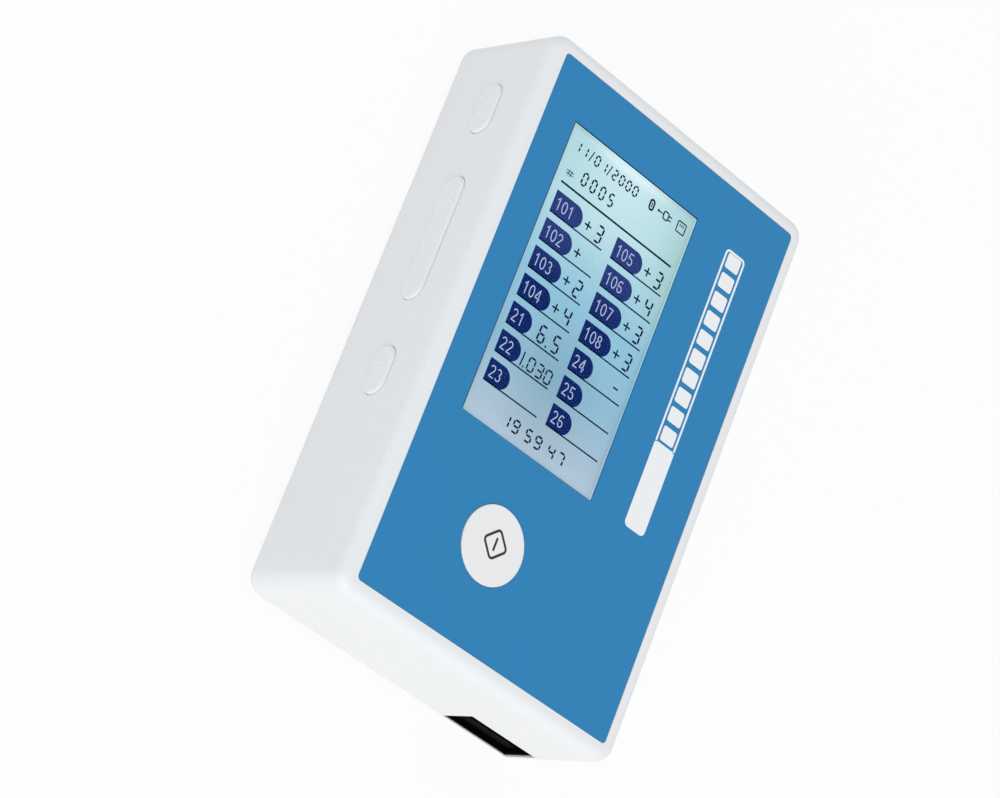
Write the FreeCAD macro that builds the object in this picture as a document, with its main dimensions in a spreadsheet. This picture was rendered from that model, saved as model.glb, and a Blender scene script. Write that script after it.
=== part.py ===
"""Hand-held urine analyzer, modelled as the separate pieces it is assembled from.

The instrument lies on its back.  X runs across the case, Y from the strip slot in the lower end to the
connector in the upper end, and Z up out of the face.  The origin is under the middle of the case, on
the surface that the rubber feet stand on.  All lengths are millimetres and all angles are degrees.
"""
import FreeCAD, Part
import math
import os
import re

import Sketcher

Vector = FreeCAD.Vector

# Driving dimensions: name, value, what it is.
SIZES = [
    ("case_width", 79.2, "case, side to side"),
    ("case_height", 126.0, "case, end to end"),
    ("case_depth", 30.0, "case, back to face"),
    ("back_depth", 12.5, "back shell, back to parting line"),
    ("corner_radius", 4.0, "upright corners of the case"),
    ("face_fillet", 2.5, "rounded edge round the face"),
    ("back_fillet", 2.5, "rounded edge round the back"),
    ("side_wall", 2.0, "shell walls"),
    ("floor_wall", 1.8, "back shell floor"),
    ("front_wall", 2.2, "front shell face under the overlay"),
    ("lip_height", 1.5, "lip of the back shell inside the front shell"),
    ("lip_thickness", 0.8, "lip thickness"),
    ("shell_gap", 0.1, "clearance between the lip and the front shell"),
    ("foot_proud", 0.6, "how far the feet stand out of the back"),
    ("foot_sunk", 0.6, "how deep the feet sit in the back"),
    ("foot_diameter", 8.0, "rubber foot"),
    ("foot_inset_x", 8.6, "feet, from the sides"),
    ("foot_inset_y", 18.0, "feet, from the ends"),
    ("fit_gap", 0.1, "clearance round a piece set in a recess"),
    ("overlay_inset", 3.67, "front overlay inside the outline of the case"),
    ("overlay_thickness", 0.2, "front overlay"),
    ("overlay_recess", 0.3, "recess for the overlay"),
    ("overlay_radius", 1.0, "overlay corners"),
    ("display_from_left", 11.8, "window from the left side"),
    ("display_from_top", 14.7, "window from the upper end"),
    ("display_width", 38.45, "window in the overlay"),
    ("display_above_button", 11.95, "window above the start button"),
    ("glass_lap", 0.7, "opening in the shell beyond the window, each side"),
    ("display_gap", 0.1, "clearance round the display glass"),
    ("window_border", 1.8, "window sheet hidden under the overlay, each side"),
    ("window_thickness", 0.5, "clear window sheet"),
    ("glass_thickness", 2.0, "display glass"),
    ("light_border", 2.5, "backlight beyond the window, each side"),
    ("light_thickness", 2.4, "backlight"),
    ("gasket_thickness", 0.4, "display gasket"),
    ("gasket_gap", 0.1, "air between gasket and shell"),
    ("frame_wall", 1.8, "display frame walls"),
    ("frame_floor", 1.0, "display frame floor"),
    ("flex_thickness", 0.15, "flat flexes"),
    ("flex_width", 20.0, "display flex"),
    ("button_from_left", 31.1, "start button from the left side"),
    ("button_from_end", 25.1, "start button from the lower end"),
    ("button_diameter", 16.3, "start button"),
    ("button_proud", 0.2, "start button above the rim of the case"),
    ("button_gap", 0.12, "clearance round the start button"),
    ("button_flange", 1.0, "flange under the face, each side"),
    ("button_flange_thickness", 1.0, "flange thickness"),
    ("button_travel", 0.5, "press of the start button"),
    ("button_stem", 3.4, "stem diameter"),
    ("flange_gap", 0.3, "air between the flange and the wall above it"),
    ("key_rise", 0.6, "keys above the parting line"),
    ("key_width", 6.2, "side keys, across"),
    ("key_proud", 0.65, "side keys outside the case"),
    ("key_round", 0.6, "rounded edge of a side key"),
    ("key_gap", 0.1, "clearance round a side key"),
    ("key_ear", 1.2, "ear beyond each end of a side key"),
    ("key_ear_thickness", 1.0, "ear thickness"),
    ("key_ear_gap", 0.5, "air between the ears and the wall"),
    ("key_ear_inset", 0.3, "ears narrower than the key, each side"),
    ("key_nib", 0.6, "nib on the inner face of a key"),
    ("key_travel", 0.5, "press of a side key"),
    ("power_from_top", 17.8, "power key from the upper end"),
    ("power_length", 11.6, "power key"),
    ("rocker_from_top", 48.05, "up and down key from the upper end"),
    ("rocker_length", 28.5, "up and down key"),
    ("rocker_finger", 10.0, "fingers of the up and down key, from its middle"),
    ("rocker_gap", 0.45, "air between a finger and its switch"),
    ("pivot_diameter", 1.6, "pin that the up and down key rocks on"),
    ("pivot_gap", 0.05, "clearance round that pin"),
    ("lug_height", 2.0, "lug that holds the pin"),
    ("lug_width", 4.4, "lug that holds the pin"),
    ("lug_gap", 0.3, "air between the key and the lug"),
    ("menu_from_top", 78.3, "menu key from the upper end"),
    ("menu_length", 10.9, "menu key"),
    ("switch_size", 4.5, "side switches, square"),
    ("switch_depth", 2.0, "side switches, body"),
    ("plunger_diameter", 2.0, "side switch plungers"),
    ("plunger_out", 0.9, "plunger outside its body"),
    ("plunger_in", 0.8, "plunger inside its body"),
    ("plunger_gap", 0.1, "clearance round a plunger"),
    ("key_board_thickness", 1.0, "key board"),
    ("key_board_margin", 4.0, "key board beyond the outer switches"),
    ("board_drop", 7.1, "inner face of the front shell to the main board"),
    ("board_thickness", 1.6, "main board"),
    ("board_margin", 1.8, "main board to the walls"),
    ("board_notch", 0.6, "air between the board and the case bosses"),
    ("boss_inset", 6.8, "case screws, from the sides and the ends"),
    ("boss_beside_guide", 5.8, "case screw beside the tray guide"),
    ("boss_diameter", 6.4, "front shell bosses"),
    ("back_boss_diameter", 7.4, "back shell bosses"),
    ("screw_diameter", 2.6, "case screws"),
    ("screw_head", 4.8, "case screw heads"),
    ("screw_head_height", 1.6, "case screw heads"),
    ("screw_sunk", 3.2, "seat of the case screws, above the back"),
    ("screw_bite", 7.0, "case screw in the front boss"),
    ("screw_gap", 0.15, "clearance round the case screws"),
    ("screw_cross", 2.8, "cross recess of a case screw, across"),
    ("screw_slot", 0.8, "arms of that cross recess"),
    ("screw_cross_depth", 1.0, "that cross recess"),
    ("pilot_wall", 0.05, "pilot holes wider than a screw core, each side"),
    ("post_inset_x", 17.6, "main board posts, from the sides"),
    ("post_inset_y", 6.8, "main board posts, from the ends"),
    ("post_diameter", 4.6, "main board posts"),
    ("small_screw", 2.0, "small screws"),
    ("small_head", 3.6, "small screw heads"),
    ("small_head_height", 1.2, "small screw heads"),
    ("small_bite", 4.0, "small screws in plastic"),
    ("guide_bite", 3.5, "guide screws in their posts"),
    ("small_cross", 2.2, "cross recess of a small screw, across"),
    ("small_slot", 0.6, "arms of that cross recess"),
    ("small_cross_depth", 0.7, "that cross recess"),
    ("usb_x", 0.0, "connector, from the middle"),
    ("usb_width", 7.7, "connector shell"),
    ("usb_height", 3.9, "connector shell"),
    ("usb_length", 9.2, "connector shell"),
    ("usb_thickness", 0.3, "connector shell metal"),
    ("usb_tongue_width", 3.6, "connector tongue"),
    ("usb_tongue_height", 0.9, "connector tongue"),
    ("usb_tongue_inset", 1.2, "connector tongue behind the face of its shell"),
    ("usb_sunk", 0.5, "connector face behind the end of the case"),
    ("usb_gap", 0.3, "clearance round the connector"),
    ("start_switch_size", 6.0, "start switch, square"),
    ("start_switch_height", 3.4, "start switch body"),
    ("start_plunger_in", 1.4, "start plunger inside its body"),
    ("start_plunger_out", 0.9, "start plunger outside its body"),
    ("plunger_room", 0.2, "air under the start plunger when it is fully pressed"),
    ("slot_from_right", 13.35, "middle of the strip slot from the right side"),
    ("guide_width", 18.9, "tray guide, outside"),
    ("guide_height", 9.4, "tray guide, outside"),
    ("guide_wall", 0.8, "tray guide walls"),
    ("guide_mouth", 0.4, "guide mouth behind the end of the case"),
    ("guide_from_top", 15.0, "rear of the tray guide from the upper end"),
    ("tray_gap", 0.2, "clearance round the tray"),
    ("tray_thickness", 3.0, "strip tray"),
    ("tray_inset", 1.1, "tray behind the guide mouth when drawn in"),
    ("tray_rear_inset", 1.0, "tray inside the rear of its guide when drawn in"),
    ("tray_travel", 72.0, "tray travel"),
    ("groove_width", 6.5, "groove for the strip"),
    ("groove_depth", 1.6, "groove for the strip"),
    ("groove_rear", 8.9, "rear edge of the tray behind the groove"),
    ("groove_lip", 1.6, "front edge of the tray before the groove"),
    ("well_width", 10.0, "drip well at the front of the tray"),
    ("well_length", 7.0, "drip well"),
    ("well_depth", 2.0, "drip well"),
    ("reference_size", 6.0, "white reference"),
    ("reference_depth", 0.8, "white reference"),
    ("reference_proud", 0.2, "white reference above the tray"),
    ("flag_width", 1.2, "flag behind the tray"),
    ("flag_length", 4.0, "flag behind the tray"),
    ("flag_inset", 1.4, "flag from the right edge of the tray"),
    ("rack_module", 0.8, "rack and pinion"),
    ("pinion_teeth", 12, "pinion on the drive gear"),
    ("pinion_width", 2.4, "pinion on the drive gear"),
    ("pinion_rise", 0.4, "pinion above the underside of the tray"),
    ("pinion_clear", 0.3, "opening in the guide above and below the pinion"),
    ("gear_module", 0.5, "reduction gears"),
    ("gear_teeth", 44, "wheel on the drive gear"),
    ("gear_width", 1.8, "wheel on the drive gear"),
    ("gear_above_guide", 0.7, "wheel above the tray guide"),
    ("gear_from_end", 33.0, "drive gear from the lower end"),
    ("hub_diameter", 5.0, "drive gear hub"),
    ("axle_diameter", 2.0, "drive gear axle"),
    ("axle_gap", 0.05, "clearance round the axle"),
    ("axle_boss", 5.0, "boss under the axle"),
    ("boss_gap", 0.2, "air between that boss and the pinion"),
    ("axle_end", 1.8, "axle above the wheel"),
    ("axle_floor", 0.8, "floor left under the axle"),
    ("clip_diameter", 4.8, "axle clip"),
    ("clip_thickness", 0.5, "axle clip"),
    ("clip_gap", 0.3, "air between the wheel and the axle clip"),
    ("backlash", 0.12, "play between teeth"),
    ("motor_teeth", 10, "motor pinion"),
    ("motor_angle", 225.0, "direction of the motor from the drive gear"),
    ("motor_diameter", 15.0, "motor body"),
    ("motor_pad", 0.4, "motor above the floor"),
    ("motor_shaft", 1.5, "motor shaft"),
    ("shaft_gap", 0.06, "clearance round the motor shaft"),
    ("shaft_lift", 1.0, "end of the motor shaft above the bottom of the can"),
    ("shaft_end", 0.4, "air under that end, and shaft beyond the motor pinion"),
    ("bracket_thickness", 0.6, "motor bracket"),
    ("bracket_under_gear", 0.5, "air between bracket and wheel"),
    ("bracket_reach", 10.2, "bracket screws from the motor"),
    ("bracket_arm", 4.6, "bracket arm, across"),
    ("motor_pinion_width", 1.8, "motor pinion"),
    ("head_from_end", 15.0, "optical head from the lower end"),
    ("head_width", 12.0, "optical head"),
    ("head_length", 11.0, "optical head"),
    ("optics_gap", 1.6, "optics board to main board"),
    ("aperture_width", 8.0, "opening in the guide under the head"),
    ("aperture_length", 7.0, "opening in the guide under the head"),
    ("lens_diameter", 4.0, "lens"),
    ("lens_thickness", 1.0, "lens"),
    ("lamp_diameter", 2.0, "light diodes"),
    ("lamp_share", 0.6, "height of the light diodes as a share of the head"),
    ("lamp_place", 3.9, "light diodes from the lens"),
    ("detector_size", 2.8, "photodiode"),
    ("detector_height", 0.6, "photodiode"),
    ("optics_board_thickness", 0.8, "optics board"),
    ("sensor_wall", 2.2, "position sensor arms"),
    ("sensor_gap", 0.6, "position sensor to the flag"),
    ("sensor_length", 3.2, "position sensor"),
    ("sensor_lead", 0.3, "sensor ahead of the end of the flag"),
    ("sensor_drop", 0.4, "air between the sensor's throat and the flag above it"),
    ("sensor_height", 6.0, "position sensor"),
    ("battery_from_left", 5.6, "battery from the left side"),
    ("battery_from_end", 39.0, "battery from the lower end"),
    ("battery_width", 34.0, "battery"),
    ("battery_length", 56.0, "battery"),
    ("battery_thickness", 6.4, "battery"),
    ("battery_radius", 2.0, "battery corners"),
    ("rib_height", 3.0, "ribs round the battery"),
    ("rib_thickness", 1.0, "ribs round the battery"),
    ("rib_gap", 0.3, "ribs to battery"),
    ("battery_flex_width", 8.0, "battery flex"),
    ("battery_flex_lap", 8.0, "battery flex lying on the battery"),
    ("tab_width", 4.6, "guide tabs"),
    ("tab_length", 7.0, "guide tabs"),
    ("tab_thickness", 1.4, "guide tabs"),
    ("tab_post", 3.0, "posts under the guide tabs"),
    ("tab_front", 53.0, "front guide tab from the lower end"),
    ("tab_rear", 29.0, "rear guide tab from the upper end"),
    ("chip_height", 1.2, "board chips"),
    ("processor_size", 12.0, "processor, square"),
    ("processor_from_top", 55.0, "processor from the upper end"),
    ("memory_width", 8.0, "memory chip"),
    ("memory_length", 6.0, "memory chip"),
    ("memory_from_top", 75.0, "memory chip from the upper end"),
    ("chips_from_left", 31.6, "processor and memory from the left side"),
    ("driver_size", 6.5, "motor driver chip, square"),
    ("driver_from_left", 47.6, "motor driver chip from the left side"),
    ("driver_from_top", 39.0, "motor driver chip from the upper end"),
    ("radio_width", 13.0, "radio module"),
    ("radio_length", 16.0, "radio module"),
    ("radio_height", 2.2, "radio module"),
    ("radio_from_left", 21.6, "radio module from the left side"),
    ("radio_from_top", 19.0, "radio module from the upper end"),
    ("buzzer_diameter", 9.0, "buzzer"),
    ("buzzer_height", 4.0, "buzzer"),
    ("buzzer_from_left", 17.6, "buzzer from the left side"),
    ("buzzer_from_end", 19.0, "buzzer from the lower end"),
    ("hole_diameter", 1.4, "sound holes"),
    ("hole_ring", 2.8, "ring of sound holes, radius"),
    ("hole_count", 6, "sound holes in the ring"),
    ("plate_width", 44.0, "rating plate"),
    ("plate_height", 26.0, "rating plate"),
    ("plate_thickness", 0.3, "rating plate"),
    ("plate_recess", 0.4, "recess for the rating plate"),
    ("plate_from_left", 31.6, "middle of the rating plate from the left side"),
    ("plate_from_top", 59.0, "middle of the rating plate from the upper end"),
]

doc = FreeCAD.newDocument("urine_analyzer")
sheet = doc.addObject("Spreadsheet::Sheet", "dims")
PIECES = []


def fill_sheet():
    """Put every driving dimension in the sheet under its own alias."""
    for row, (alias, size, note) in enumerate(SIZES, start=1):
        sheet.set(f"A{row}", alias)
        sheet.set(f"B{row}", str(size))
        sheet.setAlias(f"B{row}", alias)
        sheet.set(f"C{row}", note)
    doc.recompute()


def sheet_formula(formula):
    """The formula with every dimension name pointing at the sheet; pi and functions stay."""
    return re.sub(r"\b(?!pi\b)([a-z]\w+)\b(?!\()", r"dims.\1", str(formula))


def size(formula):
    """The number that a formula of dimension names comes to."""
    return float(sheet.evalExpression(sheet_formula(formula)))


def bind(thing, target, formula):
    """Drive a property, or a named constraint, of an object from the sheet."""
    thing.setExpression(target, sheet_formula(formula))


def keep(name, thing):
    """Register an object as the sub-part of that name."""
    thing.Label = name
    PIECES.append(thing)
    return thing


# ------------------------------------------------------------------ levels and places in the case
BACK = "foot_proud"
FACE = f"({BACK} + case_depth)"
PARTING = f"({BACK} + back_depth)"
FLOOR = f"({BACK} + floor_wall)"
SKIN = f"({FACE} - overlay_recess)"
CEILING = f"({SKIN} - front_wall)"
LEFT = "(-case_width / 2)"
RIGHT = "(case_width / 2)"
LOWER = "(-case_height / 2)"
UPPER = "(case_height / 2)"
INNER_X = "(case_width / 2 - side_wall)"
INNER_Y = "(case_height / 2 - side_wall)"
LIP_X = f"({INNER_X} - shell_gap - lip_thickness)"
LIP_Y = f"({INNER_Y} - shell_gap - lip_thickness)"
LIP_RADIUS = "(corner_radius - side_wall)"

BUTTON_X = f"({LEFT} + button_from_left)"
BUTTON_Y = f"({LOWER} + button_from_end)"
DISPLAY_TOP = f"({UPPER} - display_from_top)"
DISPLAY_HEIGHT = f"({DISPLAY_TOP} - {BUTTON_Y} - button_diameter / 2 - display_above_button)"
DISPLAY_X = f"({LEFT} + display_from_left + display_width / 2)"
DISPLAY_Y = f"({DISPLAY_TOP} - {DISPLAY_HEIGHT} / 2)"
OPENING_WIDTH = "(display_width + 2 * glass_lap)"
OPENING_HEIGHT = f"({DISPLAY_HEIGHT} + 2 * glass_lap)"
WINDOW_BOTTOM = f"({SKIN} - window_thickness)"
GLASS_BOTTOM = f"({WINDOW_BOTTOM} - fit_gap - glass_thickness)"
LIGHT_TOP = f"({CEILING} - gasket_gap - gasket_thickness)"
LIGHT_BOTTOM = f"({LIGHT_TOP} - light_thickness)"
LIGHT_WIDTH = "(display_width + 2 * light_border)"
LIGHT_HEIGHT = f"({DISPLAY_HEIGHT} + 2 * light_border)"
FRAME_WIDTH = f"({LIGHT_WIDTH} + 2 * fit_gap + 2 * frame_wall)"
FRAME_HEIGHT = f"({LIGHT_HEIGHT} + 2 * fit_gap + 2 * frame_wall)"

BOARD_TOP = f"({CEILING} - board_drop)"
BOARD_BOTTOM = f"({BOARD_TOP} - board_thickness)"

SMALL_HEAD = ("small_head", "small_head_height")
SMALL_CROSS = ("small_cross", "small_slot", "small_cross_depth")

KEY_MIDDLE = f"({PARTING} + key_rise + key_width / 2)"
POWER_Y = f"({UPPER} - power_from_top)"
ROCKER_Y = f"({UPPER} - rocker_from_top)"
MENU_Y = f"({UPPER} - menu_from_top)"
WALL_IN = f"(-{INNER_X})"
EAR_OUT = f"({WALL_IN} + key_ear_gap)"
EAR_IN = f"({EAR_OUT} + key_ear_thickness)"
NIB_IN = f"({EAR_IN} + key_nib)"
LUG_BOTTOM = f"({KEY_MIDDLE} + key_width / 2 + key_gap + lug_gap)"
SWITCH_OUT = f"({NIB_IN} + plunger_out)"
SWITCH_IN = f"({SWITCH_OUT} + switch_depth)"
BOARD_LEFT = f"({SWITCH_IN} + key_board_thickness)"
BOARD_RIGHT = f"({INNER_X} - board_margin)"

SLOT_TOP = f"({FLOOR} + guide_height + fit_gap)"
GUIDE_TOP = f"({FLOOR} + guide_height)"
SLOT_X = f"({RIGHT} - slot_from_right)"
GUIDE_MOUTH = f"({LOWER} + guide_mouth)"
GUIDE_REAR = f"({UPPER} - guide_from_top)"
GUIDE_LEFT = f"({SLOT_X} - guide_width / 2)"
CHANNEL_WIDTH = "(guide_width - 2 * guide_wall)"
TRAY_BOTTOM = f"({FLOOR} + guide_wall + tray_gap)"
TRAY_TOP = f"({TRAY_BOTTOM} + tray_thickness)"
TRAY_WIDTH = f"({CHANNEL_WIDTH} - 2 * tray_gap)"
TRAY_LEFT = f"({SLOT_X} - {TRAY_WIDTH} / 2)"
TRAY_FRONT = f"({GUIDE_MOUTH} + tray_inset)"
TRAY_REAR = f"({GUIDE_REAR} - tray_rear_inset)"
TRAY_LENGTH = f"({TRAY_REAR} - {TRAY_FRONT})"
GROOVE_LENGTH = f"({TRAY_LENGTH} - groove_lip - groove_rear)"
REFERENCE_Y = f"({TRAY_REAR} - groove_rear / 2)"
FLAG_X = f"({SLOT_X} + {TRAY_WIDTH} / 2 - flag_inset - flag_width / 2)"

GEAR_X = f"({TRAY_LEFT} + rack_module - rack_module * pinion_teeth / 2)"
GEAR_Y = f"({LOWER} + gear_from_end)"
PINION_BOTTOM = f"({TRAY_BOTTOM} + pinion_rise)"
GEAR_BOTTOM = f"({GUIDE_TOP} + gear_above_guide)"
GEAR_TOP = f"({GEAR_BOTTOM} + gear_width)"
CENTRES = "(gear_module * (gear_teeth + motor_teeth) / 2)"
MOTOR_X = f"({GEAR_X} + {CENTRES} * cos(motor_angle))"
MOTOR_Y = f"({GEAR_Y} + {CENTRES} * sin(motor_angle))"
BRACKET_TOP = f"({GEAR_BOTTOM} - bracket_under_gear)"
BRACKET_BOTTOM = f"({BRACKET_TOP} - bracket_thickness)"
MOTOR_BOTTOM = f"({FLOOR} + motor_pad)"

HEAD_Y = f"({LOWER} + head_from_end)"
OPTICS_TOP = f"({BOARD_BOTTOM} - optics_gap)"
HEAD_TOP = f"({OPTICS_TOP} - optics_board_thickness)"
HEAD_HEIGHT = f"({HEAD_TOP} - {GUIDE_TOP})"
LENS_BOTTOM = f"({GUIDE_TOP} + ({HEAD_HEIGHT} - lens_thickness - detector_height) / 3)"
TAB_LEVEL = f"({FLOOR} + tab_post)"
TAB_X = f"({GUIDE_LEFT} - tab_width / 2)"
BATTERY_BOTTOM = f"({FLOOR} + fit_gap)"
BATTERY_TOP = f"({BATTERY_BOTTOM} + battery_thickness)"
BATTERY_X = f"({LEFT} + battery_from_left + battery_width / 2)"
BATTERY_Y = f"({LOWER} + battery_from_end + battery_length / 2)"
BATTERY_END = f"({BATTERY_Y} + battery_length / 2)"
PLATE_X = f"({LEFT} + plate_from_left)"
PLATE_Y = f"({UPPER} - plate_from_top)"
BUZZER_X = f"({LEFT} + buzzer_from_left)"
BUZZER_Y = f"({LOWER} + buzzer_from_end)"
BOSS_X = f"({RIGHT} - boss_inset)"
BOSS_Y = f"({UPPER} - boss_inset)"
POST_X = f"({RIGHT} - post_inset_x)"
POST_Y = f"({UPPER} - post_inset_y)"
FOOT_X = f"({RIGHT} - foot_inset_x)"
FOOT_Y = f"({UPPER} - foot_inset_y)"

BOSSES = [
    (f"-{BOSS_X}", BOSS_Y),
    (BOSS_X, BOSS_Y),
    (f"-{BOSS_X}", f"-{BOSS_Y}"),
    (f"({GUIDE_LEFT} - boss_beside_guide)", f"-{BOSS_Y}"),
]
POSTS = [
    (f"-{POST_X}", POST_Y),
    (POST_X, POST_Y),
    (f"-{POST_X}", f"-{POST_Y}"),
    (POST_X, f"-{POST_Y}"),
]
FEET = [
    (f"-{FOOT_X}", f"-{FOOT_Y}"),
    (FOOT_X, f"-{FOOT_Y}"),
    (f"-{FOOT_X}", FOOT_Y),
    (FOOT_X, FOOT_Y),
]
GUIDE_TABS = [(TAB_X, f"({LOWER} + tab_front)"), (TAB_X, f"({UPPER} - tab_rear)")]
BRACKET_ENDS = [
    (f"({MOTOR_X} + bracket_reach * cos(motor_angle + 90))",
     f"({MOTOR_Y} + bracket_reach * sin(motor_angle + 90))"),
    (f"({MOTOR_X} - bracket_reach * cos(motor_angle + 90))",
     f"({MOTOR_Y} - bracket_reach * sin(motor_angle + 90))"),
]
ROCKER_SWITCHES = [f"({ROCKER_Y} - rocker_finger)", f"({ROCKER_Y} + rocker_finger)"]


# ------------------------------------------------------------------ sketches and features
def new_body(name):
    """A PartDesign body that is the sub-part of that name."""
    return keep(name, doc.addObject("PartDesign::Body", name))


def new_sketch(body, name, plane, across, along, level):
    """A sketch on one of the body's own origin planes, moved to a place in that plane and a level."""
    sketch = body.newObject("Sketcher::SketchObject", f"{body.Name}_{name}")
    origin = [feature for feature in body.Origin.OriginFeatures if feature.Role == f"{plane}_Plane"]
    sketch.AttachmentSupport = [(origin[0], "")]
    sketch.MapMode = "FlatFace"
    bind(sketch, "AttachmentOffset.Base.x", across)
    bind(sketch, "AttachmentOffset.Base.y", along)
    # The XZ plane faces -Y, so a place along Y is a level of the other sign there.
    bind(sketch, "AttachmentOffset.Base.z", f"-({level})" if plane == "XZ" else level)
    return sketch


def named(sketch, constraint, name, formula):
    """Add a constraint and drive it from the sheet."""
    index = sketch.addConstraint(constraint)
    sketch.renameConstraint(index, name)
    bind(sketch, f"Constraints.{name}", formula)


def draw_rectangle(sketch, width, height, radius=None):
    """A rectangle about the sketch's origin, with rounded corners when a radius is given."""
    first = sketch.GeometryCount
    half_w = size(width) / 2
    half_h = size(height) / 2
    cut = size(radius) if radius else 0.0
    ends = [
        ((-half_w + cut, -half_h), (half_w - cut, -half_h)),
        ((half_w, -half_h + cut), (half_w, half_h - cut)),
        ((half_w - cut, half_h), (-half_w + cut, half_h)),
        ((-half_w, half_h - cut), (-half_w, -half_h + cut)),
    ]
    for start, end in ends:
        sketch.addGeometry(Part.LineSegment(Vector(*start, 0), Vector(*end, 0)), False)
    sides = [first, first + 1, first + 2, first + 3]
    sketch.addConstraint(Sketcher.Constraint("Horizontal", sides[0]))
    sketch.addConstraint(Sketcher.Constraint("Horizontal", sides[2]))
    sketch.addConstraint(Sketcher.Constraint("Vertical", sides[1]))
    sketch.addConstraint(Sketcher.Constraint("Vertical", sides[3]))
    tag = f"_{first}"
    if not radius:
        for index in range(4):
            sketch.addConstraint(
                Sketcher.Constraint("Coincident", sides[index], 2, sides[(index + 1) % 4], 1))
        sketch.addConstraint(Sketcher.Constraint("Symmetric", sides[0], 1, sides[2], 1, -1, 1))
        named(sketch, Sketcher.Constraint("DistanceX", sides[0], 1, sides[0], 2, 2 * half_w),
              "width" + tag, width)
        named(sketch, Sketcher.Constraint("DistanceY", sides[1], 1, sides[1], 2, 2 * half_h),
              "height" + tag, height)
        return
    for index, (x_sign, y_sign) in enumerate([(1, -1), (1, 1), (-1, 1), (-1, -1)]):
        centre = Vector(x_sign * (half_w - cut), y_sign * (half_h - cut), 0)
        start = math.radians(90 * (index - 1))
        circle = Part.Circle(centre, Vector(0, 0, 1), cut)
        sketch.addGeometry(Part.ArcOfCircle(circle, start, start + math.pi / 2), False)
    corners = [first + 4 + index for index in range(4)]
    for index in range(4):
        sketch.addConstraint(Sketcher.Constraint("Tangent", sides[index], 2, corners[index], 1))
        sketch.addConstraint(
            Sketcher.Constraint("Tangent", corners[index], 2, sides[(index + 1) % 4], 1))
    for index in range(3):
        sketch.addConstraint(Sketcher.Constraint("Equal", corners[index], corners[index + 1]))
    sketch.addConstraint(Sketcher.Constraint("Symmetric", corners[0], 3, corners[2], 3, -1, 1))
    named(sketch, Sketcher.Constraint("Radius", corners[0], cut), "radius" + tag, radius)
    named(sketch, Sketcher.Constraint("DistanceX", sides[0], 1, sides[0], 2, 2 * (half_w - cut)),
          "straight_x" + tag, f"{width} - 2 * {radius}")
    named(sketch, Sketcher.Constraint("DistanceY", sides[1], 1, sides[1], 2, 2 * (half_h - cut)),
          "straight_y" + tag, f"{height} - 2 * {radius}")


def draw_slot(sketch, length, width):
    """A slot with round ends about the sketch's origin, its length along the sketch's x."""
    radius = size(width) / 2
    reach = size(length) / 2 - radius
    sketch.addGeometry(Part.LineSegment(Vector(-reach, -radius, 0), Vector(reach, -radius, 0)), False)
    right = Part.Circle(Vector(reach, 0, 0), Vector(0, 0, 1), radius)
    sketch.addGeometry(Part.ArcOfCircle(right, -math.pi / 2, math.pi / 2), False)
    sketch.addGeometry(Part.LineSegment(Vector(reach, radius, 0), Vector(-reach, radius, 0)), False)
    left = Part.Circle(Vector(-reach, 0, 0), Vector(0, 0, 1), radius)
    sketch.addGeometry(Part.ArcOfCircle(left, math.pi / 2, 3 * math.pi / 2), False)
    for index in range(4):
        sketch.addConstraint(Sketcher.Constraint("Tangent", index, 2, (index + 1) % 4, 1))
    sketch.addConstraint(Sketcher.Constraint("Horizontal", 0))
    sketch.addConstraint(Sketcher.Constraint("Symmetric", 1, 3, 3, 3, -1, 1))
    named(sketch, Sketcher.Constraint("Radius", 1, radius), "end_radius", f"{width} / 2")
    named(sketch, Sketcher.Constraint("DistanceX", 3, 3, 1, 3, 2 * reach), "reach",
          f"{length} - {width}")


def place_point(sketch, geometry, point, name, across, along):
    """Hold a point of a sketch at a place, on an axis where that place is on the axis."""
    if abs(size(across)) < 1e-9:
        sketch.addConstraint(Sketcher.Constraint("PointOnObject", geometry, point, -2))
    else:
        named(sketch, Sketcher.Constraint("DistanceX", -1, 1, geometry, point, size(across)),
              f"{name}_across", across)
    if abs(size(along)) < 1e-9:
        sketch.addConstraint(Sketcher.Constraint("PointOnObject", geometry, point, -1))
    else:
        named(sketch, Sketcher.Constraint("DistanceY", -1, 1, geometry, point, size(along)),
              f"{name}_along", along)


def draw_circles(sketch, places, diameter):
    """Equal circles, each at its own place in the sketch."""
    for index, (across, along) in enumerate(places):
        centre = Vector(size(across), size(along), 0)
        circle = sketch.addGeometry(Part.Circle(centre, Vector(0, 0, 1), size(diameter) / 2), False)
        place_point(sketch, circle, 3, f"place_{index}", across, along)
        named(sketch, Sketcher.Constraint("Diameter", circle, size(diameter)),
              f"diameter_{index}", diameter)


def draw_polygon(sketch, corners):
    """A closed outline through corners that are each held at their place."""
    points = [Vector(size(across), size(along), 0) for across, along in corners]
    count = len(points)
    for index in range(count):
        sketch.addGeometry(Part.LineSegment(points[index], points[(index + 1) % count]), False)
    for index, (across, along) in enumerate(corners):
        before = (index - 1) % count
        sketch.addConstraint(Sketcher.Constraint("Coincident", before, 2, index, 1))
        place_point(sketch, index, 1, f"corner_{index}", across, along)


def pad(body, sketch, length, backwards=False):
    """Grow the sketch along its normal, or against it."""
    feature = body.newObject("PartDesign::Pad", f"{sketch.Name}_pad")
    feature.Profile = sketch
    feature.Reversed = backwards
    bind(feature, "Length", length)
    sketch.Visibility = False
    doc.recompute()
    return feature


def pocket(body, sketch, depth, forwards=False):
    """Cut the sketch into the body against its normal, or along it, and see that it did cut."""
    before = body.Shape.Volume
    feature = body.newObject("PartDesign::Pocket", f"{sketch.Name}_cut")
    feature.Profile = sketch
    feature.Reversed = forwards
    bind(feature, "Length", depth)
    sketch.Visibility = False
    doc.recompute()
    if body.Shape.Volume > before - 1e-6:
        raise RuntimeError(f"{feature.Name} cuts nothing")
    return feature


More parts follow.
